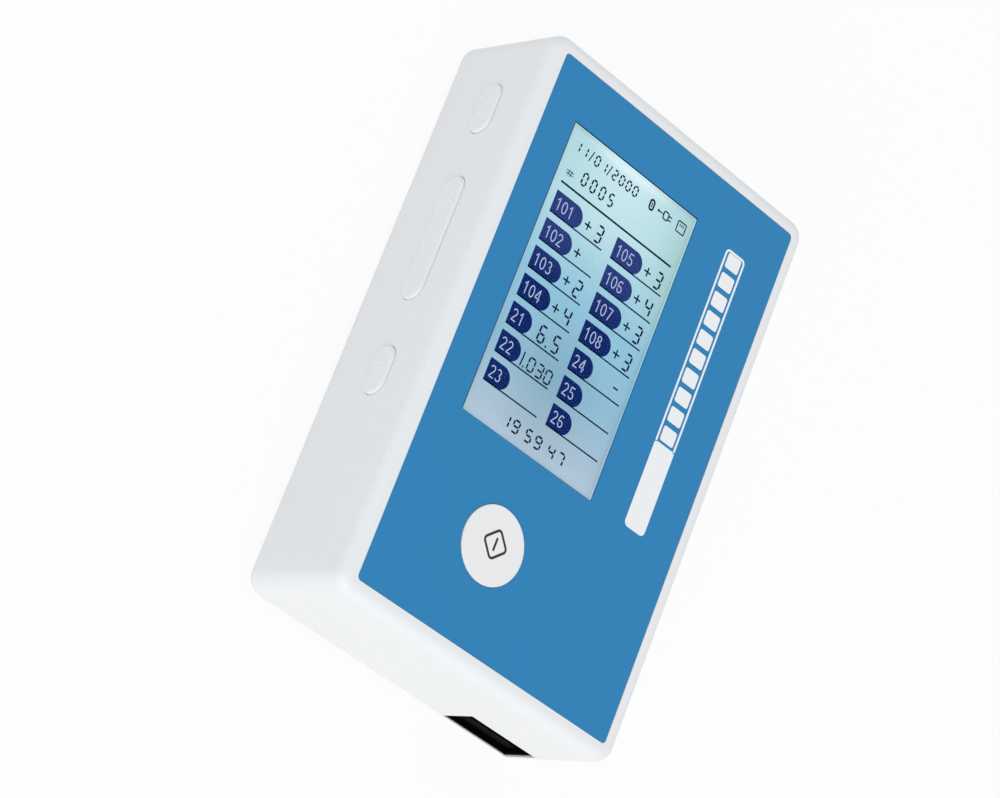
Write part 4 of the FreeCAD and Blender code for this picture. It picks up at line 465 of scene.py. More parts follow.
def button_abs(tree, colour, ink, marks, centre):
    """Polished ABS with a pad-printed start mark: brighter and smoother than the case, black ink on top."""
    point = place_in_mm(tree, centre, (0, 0, 45))
    half = (marks.start_half - marks.start_radius) / MM
    outline = line_mask(tree, point, (half, half), marks.start_radius / MM, marks.start_weight / MM)
    upright = place_in_mm(tree, centre)
    bar = line_mask(tree, upright, (0, marks.start_bar / MM), 0, marks.start_weight / MM)
    mask = both(tree, outline, bar)
    shade = mottled(tree, upright, 8, times(colour, 0.985), colour)
    rough = add(tree, "ShaderNodeMapRange", {"Value": mask, "To Min": 0.28, "To Max": 0.5})
    return add(tree, "ShaderNodeBsdfPrincipled", {
        "Base Color": blend(tree, mask, shade, ink), "Roughness": rough.outputs[0], "IOR": 1.53,
        "Normal": grained(tree, upright, 1.2, 0.001)}).outputs[0]


KEY_MARK_EDGE = 0.3  # width in millimetres over which a raised mark falls to the face of its key
ARROW_TURN = 48  # degrees from upright of each arm of an arrowhead


def key_abs(tree, colour, marks, places):
    """Satin ABS keys with marks raised by the mould: a ring with a bar, two arrowheads and a page, the marks
    painted a little lighter as a painted highlight on their relief.
    """
    power, up, down, menu = places

    def raised(place, half_x, half_y, radius=0.0, turn=0.0):
        point = place_in_mm(tree, place, (0, -90, turn))
        return line_mask(tree, point, (half_x / MM, half_y / MM), radius / MM, marks.key_weight / MM,
                         KEY_MARK_EDGE)

    bar_place = (power[0], power[1] + marks.power_bar_up / MM, power[2])
    mask = both(tree, raised(power, 0, 0, marks.power_ring), raised(bar_place, 0, marks.power_bar))
    for (x, y, z), way in ((up, 1), (down, -1)):
        for side in (-1, 1):
            arm_place = (x, y, z + side * marks.arrow_spread / MM)
            arm = raised(arm_place, 0, marks.arrow_arm, turn=way * side * ARROW_TURN)
            mask = both(tree, mask, arm)
    mask = both(tree, mask, raised(menu, marks.page_wide, marks.page_tall, marks.page_corner))
    point = place_in_mm(tree)
    fine = grained(tree, point, 0.45, 0.003)
    relief = add(tree, "ShaderNodeBump", {"Height": mask, "Distance": marks.key_relief, "Normal": fine})
    shade = mottled(tree, point, 12, times(colour, 0.985), colour)
    # Painted highlight: the marks are made a little lighter than the key, standing in for light caught by
    # their raised relief.
    return add(tree, "ShaderNodeBsdfPrincipled", {
        "Base Color": blend(tree, mask, shade, times(colour, 1.06)), "Roughness": 0.38, "IOR": 1.53,
        "Normal": relief.outputs[0]}).outputs[0]


def printed_film(tree, colour):
    """Polycarbonate film, printed behind and embossed velvet on its face: deep even blue, hardly a gloss.

    The velvet scatters what its face reflects, so its specular level is low.
    """
    point = place_in_mm(tree)
    shade = mottled(tree, point, 22, times(colour, 0.97), times(colour, 1.02))
    return add(tree, "ShaderNodeBsdfPrincipled", {
        "Base Color": shade, "Roughness": 0.4, "IOR": 1.58, "Specular IOR Level": 0.2,
        "Normal": grained(tree, point, 0.5, 0.0025)}).outputs[0]


def printed_ink(tree, colour):
    """Screen-printed ink: matt, slightly uneven where the mesh of the screen lay."""
    point = place_in_mm(tree)
    return add(tree, "ShaderNodeBsdfPrincipled", {
        "Base Color": mottled(tree, point, 1.5, times(colour, 0.96), colour), "Roughness": 0.55, "IOR": 1.5,
        "Normal": grained(tree, point, 0.3, 0.002)}).outputs[0]


def clear_acrylic(tree):
    """Cast acrylic sheet with an anti-reflection coat: clear, each face returning a thousandth of light.

    The coat's low reflection is had by an IOR below that of bare acrylic, 1.49. Light for what lies behind
    passes straight through.
    """
    point = place_in_mm(tree)
    glass = add(tree, "ShaderNodeBsdfPrincipled", {
        "Base Color": (0.985, 0.99, 0.99, 1), "Roughness": 0.02, "IOR": 1.06, "Transmission Weight": 1.0,
        "Normal": grained(tree, point, 9, 0.002)})
    through = add(tree, "ShaderNodeBsdfTransparent", {"Color": (0.97, 0.98, 0.98, 1)})
    path = add(tree, "ShaderNodeLightPath")
    lighting = both(tree, path.outputs["Is Shadow Ray"], path.outputs["Is Diffuse Ray"])
    return add(tree, "ShaderNodeMixShader", {0: lighting, 1: glass.outputs[0],
                                             2: through.outputs[0]}).outputs[0]


# ------------------------------------------------------------------ materials of the display
def halo(tree, point, centre, half_axes, most):
    """A soft ellipse in millimetres: the value of most at its centre, 0 on its rim."""
    moved = add(tree, "ShaderNodeVectorMath", {0: point, 1: (*centre, 0)}, operation="SUBTRACT")
    squeezed = add(tree, "ShaderNodeVectorMath", {0: moved.outputs[0], 1: (*half_axes, 1)},
                   operation="DIVIDE")
    level = add(tree, "ShaderNodeVectorMath", {0: squeezed.outputs[0], 1: (1, 1, 0)}, operation="MULTIPLY")
    away = add(tree, "ShaderNodeVectorMath", {0: level.outputs[0]}, operation="LENGTH")
    return add(tree, "ShaderNodeMapRange", {"Value": away.outputs["Value"], "From Min": 1.0,
                                            "From Max": 0.0, "To Max": most},
               interpolation_type="SMOOTHSTEP").outputs[0]


# Each patch's middle as a share of the window's half width and of its height, its half axes in
# millimetres, how strong it is in its middle, and its colour, None being black.
GROUND_PATCHES = (
    ((0.0, 0.24), (17, 22), 0.16, None), ((1.0, 0.78), (9, 26), 0.5, "ground_right"),
    ((0.0, 1.0), (19, 26), 0.3, "ground_glow"), ((0.0, 1.0), (18, 3.2), 0.85, "ground_glow"))
RIM_RIGHT, RIM_UP = 0.2, 0.12  # middle of the painted highlight on the rim from the middle of the window, in millimetres
RIM_CORNER, RIM_WEIGHT, RIM_EDGE = 0.6, 0.45, 0.2  # its corner radius, width and soft side, likewise
RIM_GLINT_LIFT = 1.5  # how many times as bright as the ground beside it the painted highlight on the rim is


def display_ground(tree, colours, dim=1.0):
    """The lit ground of a liquid crystal cell: brightest by the lamps at the top, darkest a quarter up.

    Over the fall of light from top to bottom lie a dark patch below the middle, a dull one on the right, a
    wide and weak glow from the lamps and a low and strong one. A painted highlight along the rim stands in
    for light caught by the cut edge of the window. With dim below 1 the whole ground is that much darker.
    """
    low, high = VIEW_LOW / MM, VIEW_HIGH / MM
    half, tall = (high.x - low.x) / 2, high.y - low.y
    point = place_in_mm(tree, (low.x + half, low.y, 0))
    parts = add(tree, "ShaderNodeSeparateXYZ", {0: point})
    height = add(tree, "ShaderNodeMath", {0: parts.outputs["Y"], 1: tall}, operation="DIVIDE")
    ramp = add(tree, "ShaderNodeValToRGB", {"Fac": height.outputs[0]})
    stops = ((0.0, colours.ground_bottom), (0.06, times(colours.ground_bottom, 0.9)),
             (0.27, colours.ground_low), (0.52, colours.ground_middle),
             (0.78, times(colours.ground_top, 1.02)), (1.0, colours.ground_top))
    while len(ramp.color_ramp.elements) < len(stops):
        ramp.color_ramp.elements.new(0.5)
    for element, (place, colour) in zip(ramp.color_ramp.elements, stops):
        element.position, element.color = place, opaque(colour)
    ground = ramp.outputs["Color"]
    for (right, up), half_axes, most, name in GROUND_PATCHES:
        patch = halo(tree, point, (right * half, up * tall), half_axes, most)
        ground = blend(tree, patch, ground, getattr(colours, name) if name else BLACK)
    middle = add(tree, "ShaderNodeVectorMath", {0: point, 1: (RIM_RIGHT, tall / 2 + RIM_UP, 0)},
                 operation="SUBTRACT")
    # Painted highlight: a bright band round the edge of the ground, standing in for light caught by the
    # window's cut edge.
    rim = line_mask(tree, middle.outputs[0], (half - RIM_CORNER, tall / 2 - RIM_CORNER), RIM_CORNER,
                    RIM_WEIGHT, RIM_EDGE)
    dim_and_glint = add(tree, "ShaderNodeMapRange", {"Value": rim, "To Min": dim, "To Max": RIM_GLINT_LIFT * dim})
    clouded = mottled(tree, point, 7, (0.97,) * 3, WHITE)
    return add(tree, "ShaderNodeVectorMath", {0: blend(tree, 1.0, ground, clouded, "MULTIPLY"),
                                              "Scale": dim_and_glint.outputs[0]}, operation="SCALE").outputs[0]


def display_cell(tree, colours, dim=1.0):
    """Glass cell with its polariser: matt, lit by the sky from before and in part by its own lamps."""
    ground = display_ground(tree, colours, dim)
    reflecting = add(tree, "ShaderNodeVectorMath", {0: ground, "Scale": 0.6}, operation="SCALE")
    return add(tree, "ShaderNodeBsdfPrincipled", {
        "Base Color": reflecting.outputs[0], "Roughness": 0.5, "IOR": 1.5, "Specular IOR Level": 0.05,
        "Emission Color": ground, "Emission Strength": 0.57}).outputs[0]


def driven_crystal(tree, colour):
    """Driven liquid crystal: dark blue-grey with soft unevenness, as deep as the polariser lets it be."""
    point = place_in_mm(tree)
    return add(tree, "ShaderNodeBsdfPrincipled", {
        "Base Color": mottled(tree, point, 1.1, times(colour, 0.8), times(colour, 1.15)), "Roughness": 0.5,
        "IOR": 1.5, "Specular IOR Level": 0.03}).outputs[0]


def badge_print(tree, low_colour, high_colour):
    """Printed navy filter under the glass: deep blue, paler and more purple towards the lamps."""
    low, high = VIEW_LOW / MM, VIEW_HIGH / MM
    point = place_in_mm(tree, ((low.x + high.x) / 2, low.y, 0))
    parts = add(tree, "ShaderNodeSeparateXYZ", {0: point})
    rise = add(tree, "ShaderNodeMapRange", {"Value": parts.outputs["Y"], "From Min": (high.y - low.y) * 0.5,
                                            "From Max": (high.y - low.y) * 0.68})
    shade = blend(tree, rise.outputs[0], low_colour, high_colour)
    deep = blend(tree, 1.0, shade, mottled(tree, point, 3.5, (0.9,) * 3, WHITE), "MULTIPLY")
    return add(tree, "ShaderNodeBsdfPrincipled", {"Base Color": deep, "Roughness": 0.5, "IOR": 1.5,
                                                  "Specular IOR Level": 0.03}).outputs[0]


# ------------------------------------------------------------------ materials inside the case
def light_guide(tree):
    """Moulded acrylic light guide on a white sheet: milky, with rows of tiny printed dots 1.2 mm apart."""
    point = place_in_mm(tree)
    dots = add(tree, "ShaderNodeTexVoronoi", {"Vector": point, "Scale": 1 / 1.2, "Randomness": 0.0})
    shade = add(tree, "ShaderNodeMapRange", {"Value": dots.outputs["Distance"], "From Min": 0.2,
                                             "From Max": 0.3})
    colour = blend(tree, shade.outputs[0], linear("FFFFFF"), linear("E2E8EA"))
    return add(tree, "ShaderNodeBsdfPrincipled", {"Base Color": colour, "Roughness": 0.25,
                                                  "IOR": 1.49}).outputs[0]


def closed_foam(tree):
    """Die-cut closed-cell foam: black, dull, pitted by cells of about 0.4 mm."""
    point = place_in_mm(tree)
    cells = add(tree, "ShaderNodeTexVoronoi", {"Vector": point, "Scale": 1 / 0.4})
    pits = add(tree, "ShaderNodeBump", {"Height": cells.outputs["Distance"], "Distance": 0.1 * MM})
    return add(tree, "ShaderNodeBsdfPrincipled", {
        "Base Color": mottled(tree, point, 2, linear("1B1B1D"), linear("2A2A2C")), "Roughness": 0.9,
        "Normal": pits.outputs[0]}).outputs[0]


def dark_moulding(tree, hex_colour, roughness, grain, gloss=0.5):
    """Black engineering plastic, moulded: dull, with a grain that breaks up what little it reflects."""
    colour = linear(hex_colour)
    point = place_in_mm(tree)
    return add(tree, "ShaderNodeBsdfPrincipled", {
        "Base Color": mottled(tree, point, 6, times(colour, 0.8), times(colour, 1.15)),
        "Roughness": roughness, "IOR": 1.5, "Specular IOR Level": gloss,
        "Normal": grained(tree, point, grain, 0.006)}).outputs[0]


def flex_film(tree):
    """Polyimide film with etched copper: amber, with darker tracks at a pitch of 0.5 mm."""
    point = place_in_mm(tree)
    tracks = add(tree, "ShaderNodeTexWave", {"Vector": point, "Scale": 0.63, "Distortion": 0.0},
                 wave_type="BANDS", bands_direction="X", wave_profile="SIN")
    line = add(tree, "ShaderNodeMapRange", {"Value": tracks.outputs["Fac"], "From Min": 0.55,
                                            "From Max": 0.7})
    colour = blend(tree, line.outputs[0], linear("C77A24"), linear("8E4E1C"))
    raised = add(tree, "ShaderNodeBump", {"Height": line.outputs[0], "Distance": 0.02 * MM})
    return add(tree, "ShaderNodeBsdfPrincipled", {"Base Color": colour, "Roughness": 0.3,
                                                  "IOR": 1.6, "Normal": raised.outputs[0]}).outputs[0]


def board_laminate(tree):
    """Glass laminate under green solder mask: glossy green with slightly raised, paler copper areas."""
    point = place_in_mm(tree)
    copper = add(tree, "ShaderNodeTexVoronoi", {"Vector": point, "Scale": 1 / 3.2, "Randomness": 0.75},
                 distance="CHEBYCHEV", feature="F1")
    area = add(tree, "ShaderNodeMapRange", {"Value": copper.outputs["Distance"], "From Min": 0.34,
                                            "From Max": 0.38})
    colour = blend(tree, area.outputs[0], linear("0E5A36"), linear("0A4429"))
    step = add(tree, "ShaderNodeBump", {"Height": area.outputs[0], "Distance": 0.035 * MM})
    return add(tree, "ShaderNodeBsdfPrincipled", {"Base Color": colour, "Roughness": 0.28,
                                                  "IOR": 1.5, "Normal": step.outputs[0]}).outputs[0]


def worked_metal(tree, hex_colour, roughness, turn=(0, 0, 0), pitch=0.3, depth=0.003):
    """Worked metal: fine parallel tool or roll lines at a pitch in millimetres give it a drawn-out gleam."""
    colour = linear(hex_colour)
    point = place_in_mm(tree, turn=turn)
    squeezed = add(tree, "ShaderNodeVectorMath", {0: point, 1: (1.0, 0.05, 1.0)}, operation="MULTIPLY")
    lines = add(tree, "ShaderNodeTexNoise", {"Vector": squeezed.outputs[0], "Scale": 1 / pitch,
                                             "Detail": 2.0})
    relief = add(tree, "ShaderNodeBump", {"Height": lines.outputs[0], "Distance": depth * MM})
    return add(tree, "ShaderNodeBsdfPrincipled", {
        "Base Color": mottled(tree, point, 4, times(colour, 0.88), colour), "Metallic": 1.0,
        "Roughness": roughness, "Normal": relief.outputs[0]}).outputs[0]


def turned_brass(tree):
    """Brass turned on a lathe: rings about the axis at a feed of 0.25 mm, polished yellow."""
    low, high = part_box("motor_pinion")
    point = place_in_mm(tree, (low + high) / 2 / MM)
    rings = add(tree, "ShaderNodeTexWave", {"Vector": point, "Scale": 1.2}, wave_type="RINGS",
                rings_direction="Z")
    relief = add(tree, "ShaderNodeBump", {"Height": rings.outputs["Fac"], "Distance": 0.004 * MM})
    return add(tree, "ShaderNodeBsdfPrincipled", {
        "Base Color": mottled(tree, point, 3, linear("B58A3A"), linear("D2A850")), "Metallic": 1.0,
        "Roughness": 0.25, "Normal": relief.outputs[0]}).outputs[0]


def pale_moulding(tree, hex_colour, roughness, soft=0.0):
    """Pale engineering plastic, moulded or sintered: waxy, with a little light passing under the skin."""
    colour = linear(hex_colour)
    point = place_in_mm(tree)
    return add(tree, "ShaderNodeBsdfPrincipled", {
        "Base Color": mottled(tree, point, 5, times(colour, 0.95), colour), "Roughness": roughness,
        "IOR": 1.48, "Subsurface Weight": soft, "Subsurface Radius": (0.6 * MM, 0.5 * MM, 0.4 * MM),
        "Subsurface Scale": 1.0, "Normal": grained(tree, point, 0.6, 0.004)}).outputs[0]


def clear_moulding(tree, hex_colour, ior):
    """Moulded clear resin or pressed glass: see-through, with the faint waves of its mould."""
    point = place_in_mm(tree)
    return add(tree, "ShaderNodeBsdfPrincipled", {
        "Base Color": opaque(linear(hex_colour)), "Roughness": 0.05, "IOR": ior,
        "Transmission Weight": 1.0, "Normal": grained(tree, point, 1.5, 0.004)}).outputs[0]


def pouch_wrap(tree):
    """Aluminium-laminate pouch of a lithium cell: dull silver with soft creases every few millimetres."""
    point = place_in_mm(tree)
    creases = grained(tree, point, 4, 0.12)
    return add(tree, "ShaderNodeBsdfPrincipled", {
        "Base Color": mottled(tree, point, 6, linear("9DA2A8"), linear("B4B9BE")), "Metallic": 0.6,
        "Roughness": 0.38, "Normal": creases}).outputs[0]


def rubber_pad(tree):
    """Moulded silicone rubber: charcoal, dull, with a fine grip texture of 0.5 mm."""
    point = place_in_mm(tree)
    return add(tree, "ShaderNodeBsdfPrincipled", {
        "Base Color": mottled(tree, point, 3, linear("242527"), linear("303134")), "Roughness": 0.8,
        "IOR": 1.41, "Sheen Weight": 0.15, "Normal": grained(tree, point, 0.5, 0.03)}).outputs[0]


# ------------------------------------------------------------------ dressing the nodes
def dress(nodes, material):
    """Gives CAD nodes their finish."""
    for name in nodes:
        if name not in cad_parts:
            raise RuntimeError(f"the frame has no node {name}")
        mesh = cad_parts[name].data
        mesh.materials.clear()
        mesh.materials.append(material)


class DressHousing(bpy.types.Operator):
    """Shells, front film, window and start button"""
    bl_idname = "analyzer.dress_housing"
    bl_label = "Housing"

    def execute(self, context):
        colours, marks = context.scene.analyzer_colours, context.scene.analyzer_marks
        dress(["front_shell", "back_shell"],
              new_material("abs_white_moulded", moulded_abs, colours.case, PARTING / MM))
        dress(["front_overlay"], new_material("polycarbonate_film_printed", printed_film, colours.film))
        dress(["display_window"], new_material("acrylic_sheet_clear", clear_acrylic))
        middle = (BUTTON_LOW + BUTTON_HIGH) / 2
        place = ((middle.x + marks.start_right) / MM, (middle.y + marks.start_up) / MM, 0)
        dress(["start_button"], new_material("abs_white_polished", button_abs, colours.button,
                                             colours.mark, marks, place))
        return {"FINISHED"}


class DressKeys(bpy.types.Operator):
    """Power, rocker and menu keys with their raised marks"""
    bl_idname = "analyzer.dress_keys"
    bl_label = "Side keys"

    def execute(self, context):
        colours, marks = context.scene.analyzer_colours, context.scene.analyzer_marks
        boxes = {name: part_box(name) for name in ("power_key", "rocker_key", "menu_key")}
        power, rocker, menu = ((low.y + high.y) / 2 for low, high in boxes.values())
        low, high = boxes["power_key"]
        between = rocker - marks.arrow_drop
        heights = (power, between + marks.arrow_place, between - marks.arrow_place, menu)
        places = [(low.x / MM, height / MM, (low.z + high.z) / 2 / MM) for height in heights]
        dress(boxes, new_material("abs_white_satin_marked", key_abs, colours.key, marks, places))
        return {"FINISHED"}


class DressDisplay(bpy.types.Operator):
    """Glass cell, backlight, gasket, frame and flex of the display"""
    bl_idname = "analyzer.dress_display"
    bl_label = "Display parts"

    def execute(self, context):
        colours = context.scene.analyzer_colours
        dress(["display_glass"], new_material("lcd_cell_lit", display_cell, colours))
        dress(["display_backlight"], new_material("acrylic_light_guide_dotted", light_guide))
        dress(["display_gasket"], new_material("foam_black_closed_cell", closed_foam))
        dress(["display_frame"], new_material("abs_black_moulded", dark_moulding, "2A2A2C", 0.5, 0.6))
        dress(["display_flex", "optics_flex", "battery_flex"],
              new_material("polyimide_film_etched", flex_film))
        return {"FINISHED"}


class DressElectronics(bpy.types.Operator):
    """Boards, chips, cans, switches, sounder and battery"""
    bl_idname = "analyzer.dress_electronics"
    bl_label = "Electronics"

    def execute(self, context):
        dress(["main_board", "key_board", "optics_board"],
              new_material("glass_laminate_green_mask", board_laminate))
        dress(["board_chips", "photodiode"], new_material("epoxy_moulding_compound", dark_moulding,
                                                          "1E1F21", 0.55, 0.25))
        dress(["radio_module", "usb_shell"], new_material("steel_tinned_drawn", worked_metal, "C9C9C6",
                                                          0.32))
        dress(["usb_tongue", "buzzer", "start_switch", "start_plunger", "side_switches", "power_plunger",
               "menu_plunger", "rocker_plungers", "position_sensor"],
              new_material("nylon_black_moulded", dark_moulding, "232325", 0.48, 0.35))
        dress(["battery"], new_material("aluminium_laminate_pouch", pouch_wrap))
        return {"FINISHED"}


class DressOptics(bpy.types.Operator):
    """Optical head, lens, lamps, strip tray, guide and white reference"""
    bl_idname = "analyzer.dress_optics"
    bl_label = "Optics and strip tray"

    def execute(self, context):
        dress(["tray_guide", "optical_head"], new_material("abs_black_matt", dark_moulding,
                                                           "040405", 0.9, 0.5, 0.03))
        dress(["strip_tray"], new_material("abs_black_satin", dark_moulding, "060608", 0.7, 0.5, 0.06))
        dress(["white_reference"], new_material("ptfe_white_sintered", pale_moulding, "F0F0EE", 0.85))
        dress(["optics_lens"], new_material("optical_glass_pressed", clear_moulding, "F6FAFB", 1.52))
        dress(["optics_lamps"], new_material("epoxy_resin_cast_clear", clear_moulding, "F4F1E4", 1.54))
        return {"FINISHED"}


class DressDrive(bpy.types.Operator):
    """Motor, gears, axle, clip, brackets and all screws"""
    bl_idname = "analyzer.dress_drive"
    bl_label = "Drive and screws"

    def execute(self, context):
        dress(["guide_screws", "board_screws", "case_screws", "motor_screws", "gear_axle", "axle_clip",
               "motor_body", "motor_shaft", "motor_bracket"],
              new_material("steel_zinc_plated", worked_metal, "B9BCC0", 0.34, (0, 0, 35), 0.2, 0.002))
        dress(["drive_gear"], new_material("acetal_natural_moulded", pale_moulding, "E8E5DB", 0.4, 0.2))
        dress(["motor_pinion"], new_material("brass_turned_bright", turned_brass))
        return {"FINISHED"}


class DressUnderside(bpy.types.Operator):
    """Rubber feet and the bare plate on the back"""
    bl_idname = "analyzer.dress_underside"
    bl_label = "Underside"

    def execute(self, context):
        dress(["rubber_feet"], new_material("silicone_rubber_moulded", rubber_pad))
        dress(["rating_plate"], new_material("aluminium_foil_brushed", worked_metal, "CDCED0", 0.36,
                                             (0, 0, 0), 0.25, 0.004))
        return {"FINISHED"}


# ------------------------------------------------------------------ marks on the display and the film
BADGES_LEFT = ("101", "102", "103", "104", "21", "22", "23")
BADGES_RIGHT = ("105", "106", "107", "108", "24", "25", "26")
LONG_BADGES = 4  # rows from the top whose badges are long
ROUND = 0.4999  # radius of a round end as a share of the width: just under half, so no edge is nil
READINGS = (("left", "3 24"), ("right", "3433"))  # from the top, the digit behind each row's plus

OPEN_LEVEL = 0.955  # how bright a segment that isn't driven is, as a share of the ground round it

# Width, pitch, height and line of the digits, in millimetres.
DATE, COUNT, CLOCK = (1.5, 2.1, 2.5, 0.38), (1.64, 2.68, 3.09, 0.41), (2.0, 2.8, 2.95, 0.42)
READING, SMALL = (2.1, 2.5, 3.95, 0.45), (2.0, 2.5, 3.2, 0.38)


def print_levels(sizes):
    """The lowest and highest level of a mark that lies on the polarising film."""
    film = GLASS_HIGH.z + sizes.film_depth
    return film - SUNK, film + sizes.print_depth


def marks_corner(sizes):
    """The upper left corner that every mark on the display is measured from."""
    return VIEW_LOW.x + sizes.marks_right, VIEW_HIGH.y - sizes.marks_down


class MakePolariser(bpy.types.Operator):
    """Polarising film on the glass, out to the edge of the window"""
    bl_idname = "analyzer.make_polariser"
    bl_label = "Polariser"

    def execute(self, context):
        sizes, colours = context.scene.analyzer_display, context.scene.analyzer_colours
        low, high = GLASS_HIGH.z - SUNK, GLASS_HIGH.z + sizes.film_depth
        x, border, corner = (GLASS_LOW.x + GLASS_HIGH.x) / 2, sizes.film_border, 0.05 * MM
        film = slab((x, GLASS_LOW.y - border), (x, GLASS_HIGH.y + border),
                    GLASS_HIGH.x - GLASS_LOW.x + 2 * border, corner, corner, low, high, steps=4)
        make_piece("display_polariser", [film], "case",
                   new_material("polariser_film_lit", display_cell, colours))
        return {"FINISHED"}


class MakeFilmEdgeShade(bpy.types.Operator):
    """Painted shadow: a dark line on the window along the edge of the film, wider on the left and top"""
    bl_idname = "analyzer.make_window_border"
    bl_label = "Window border"

    def execute(self, context):
        sizes = context.scene.analyzer_display
        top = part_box("display_window")[1].z
        # The line is set off right and down, so more of it shows on the left and top, where the film edge's
        # painted shadow lies.
        low, high = (corner.xy + Vector((sizes.border_right, -sizes.border_down))
                     for corner in (VIEW_LOW, VIEW_HIGH))
        line = swept_bars([[low, (high.x, low.y), high, (low.x, high.y)]], sizes.border_weight, top - SUNK,
                          top + sizes.print_depth, closed=True)
        # The ink shader only gives the line its dull finish; the line itself is painted shadow.
        make_piece("window_border", [line], "case",
                   new_material("dark_line_painted_shade", printed_ink, context.scene.analyzer_colours.border))
        return {"FINISHED"}


class MakeBadges(bpy.types.Operator):
    """Fourteen printed badges with a round right end and a number left open in each"""
    bl_idname = "analyzer.make_badges"
    bl_label = "Display badges"

    def execute(self, context):
        sizes, colours = context.scene.analyzer_display, context.scene.analyzer_colours
        low, high = print_levels(sizes)
        corner_x, corner_y = marks_corner(sizes)
        plates, numbers = [], []
        for column, names in ((sizes.left_column, BADGES_LEFT), (sizes.right_column, BADGES_RIGHT)):
            for row, name in enumerate(names):
                long = sizes.badge_long if row < LONG_BADGES else sizes.badge_short
                left = corner_x + column
                top = corner_y - sizes.first_row - row * sizes.row_pitch
                middle = top - sizes.badge_height / 2
                plates.append(slab((left, middle), (left + long, middle), sizes.badge_height,
                                   sizes.badge_corner, sizes.badge_height * ROUND, low, high, steps=20))
                corner = (left + sizes.number_inset, middle - sizes.number_height / 2)
                numbers += number_bars(name, corner, sizes.number_height, sizes.number_weight, high - SUNK,
                                       high + sizes.film_depth)
        make_piece("display_badges", plates, "case",
                   new_material("filter_print_navy", badge_print, colours.badge, colours.badge_top))
        make_piece("badge_numbers", numbers, "case",
                   new_material("filter_print_open", printed_ink, colours.number))
        return {"FINISHED"}


class MakeReadings(bpy.types.Operator):
    """Driven segments: date, count, readings and time, with the rules between them"""
    bl_idname = "analyzer.make_readings"
    bl_label = "Display segments"

    def execute(self, context):
        sizes, colours = context.scene.analyzer_display, context.scene.analyzer_colours
        low, high = print_levels(sizes)
        left, top = marks_corner(sizes)
        lit, unlit = [], []

        # Places and sizes from here on are in millimetres, right and down from the corner of the marks.
        def spot(right, down):
            return (left + right * MM, top - down * MM)

        def number(text, right, down, kind):
            arguments = (text, spot(right, down), *(value * MM for value in kind), low, high)
            lit.extend(digits(*arguments))
            unlit.extend(digits(*arguments[:-1], (low + high) / 2, unlit=True))

        def bar(start, end, weight):
            lit.append(swept_bars([[spot(*start), spot(*end)]], weight * MM, low, high))

        def level_bar(right, down, long, weight):
            bar((right, down), (right + long, down), weight)

        def plus(right, down, arm=0.98, weight=0.36):
            bar((right - arm, down), (right + arm, down), weight)
            bar((right, down - arm), (right, down - weight / 2), weight)
            bar((right, down + weight / 2), (right, down + arm), weight)

        # The date with its slashes, the count, the time at the foot, and a number sign before the count.
        for text, right in (("11", 2.8), ("01", 8.65), ("2000", 14.1)):
            number(text, right, 2.07, DATE)
        for right in (7.63, 13.17):
            bar((right - 0.35, 4.57), (right + 0.35, 2.07), 0.25)
        number("0005", 7.26, 6.93, COUNT)
        for text, right in (("19", 10.75), ("59", 17.3), ("47", 24.0)):
            number(text, right, 60.25, CLOCK)
        for down in (9.13, 9.73):
            level_bar(3.0, down, 2.1, 0.16)
        for right in (3.75, 4.45):
            bar((right - 0.12, 10.15), (right + 0.12, 8.75), 0.16)

        # The rule under the heading, and one under each row of badges.
        first, pitch, deep = (value / MM for value in (sizes.first_row, sizes.row_pitch, sizes.badge_height))
        rows = [first + row * pitch for row in range(len(BADGES_LEFT))]
        columns = {"left": sizes.left_column / MM, "right": sizes.right_column / MM}
        level_bar(columns["left"], sizes.head_rule_drop / MM, sizes.head_rule / MM,
                  sizes.head_rule_weight / MM)
        for start in columns.values():
            for row in rows:
                level_bar(start, row + deep - 0.06, sizes.row_rule / MM, sizes.row_rule_weight / MM)

        # The readings: a plus and a digit, then 6.5 and 1.030 on the left, and a minus on the right.
        for column, text in READINGS:
            for row, digit in zip(rows, text):
                plus(columns[column] + 10.4, row + 2.25)
                number(digit, columns[column] + 12.62, row + 0.32, READING)
        left_column, fifth, sixth = columns["left"], rows[4], rows[5]
        for digit, right in (("6", 8.45), ("5", 12.62)):
            number(digit, left_column + right, fifth + 0.32, READING)
        level_bar(left_column + 11.25, fifth + 4.05, 0.45, 0.42)
        bar((left_column + 7.18, sixth + 4.3), (left_column + 7.35, sixth + 1.14), 0.34)
        level_bar(left_column + 7.85, sixth + 4.1, 0.35, 0.36)
        number("030", left_column + 8.77, sixth + 1.14, SMALL)
        level_bar(columns["right"] + 12.75, fifth + 2.15, 1.35, 0.36)
        make_piece("display_segments", lit, "case",
                   new_material("liquid_crystal_driven", driven_crystal, colours.segment))
        make_piece("display_open_segments", unlit, "case",
                   new_material("liquid_crystal_open", display_cell, colours, OPEN_LEVEL))
        return {"FINISHED"}


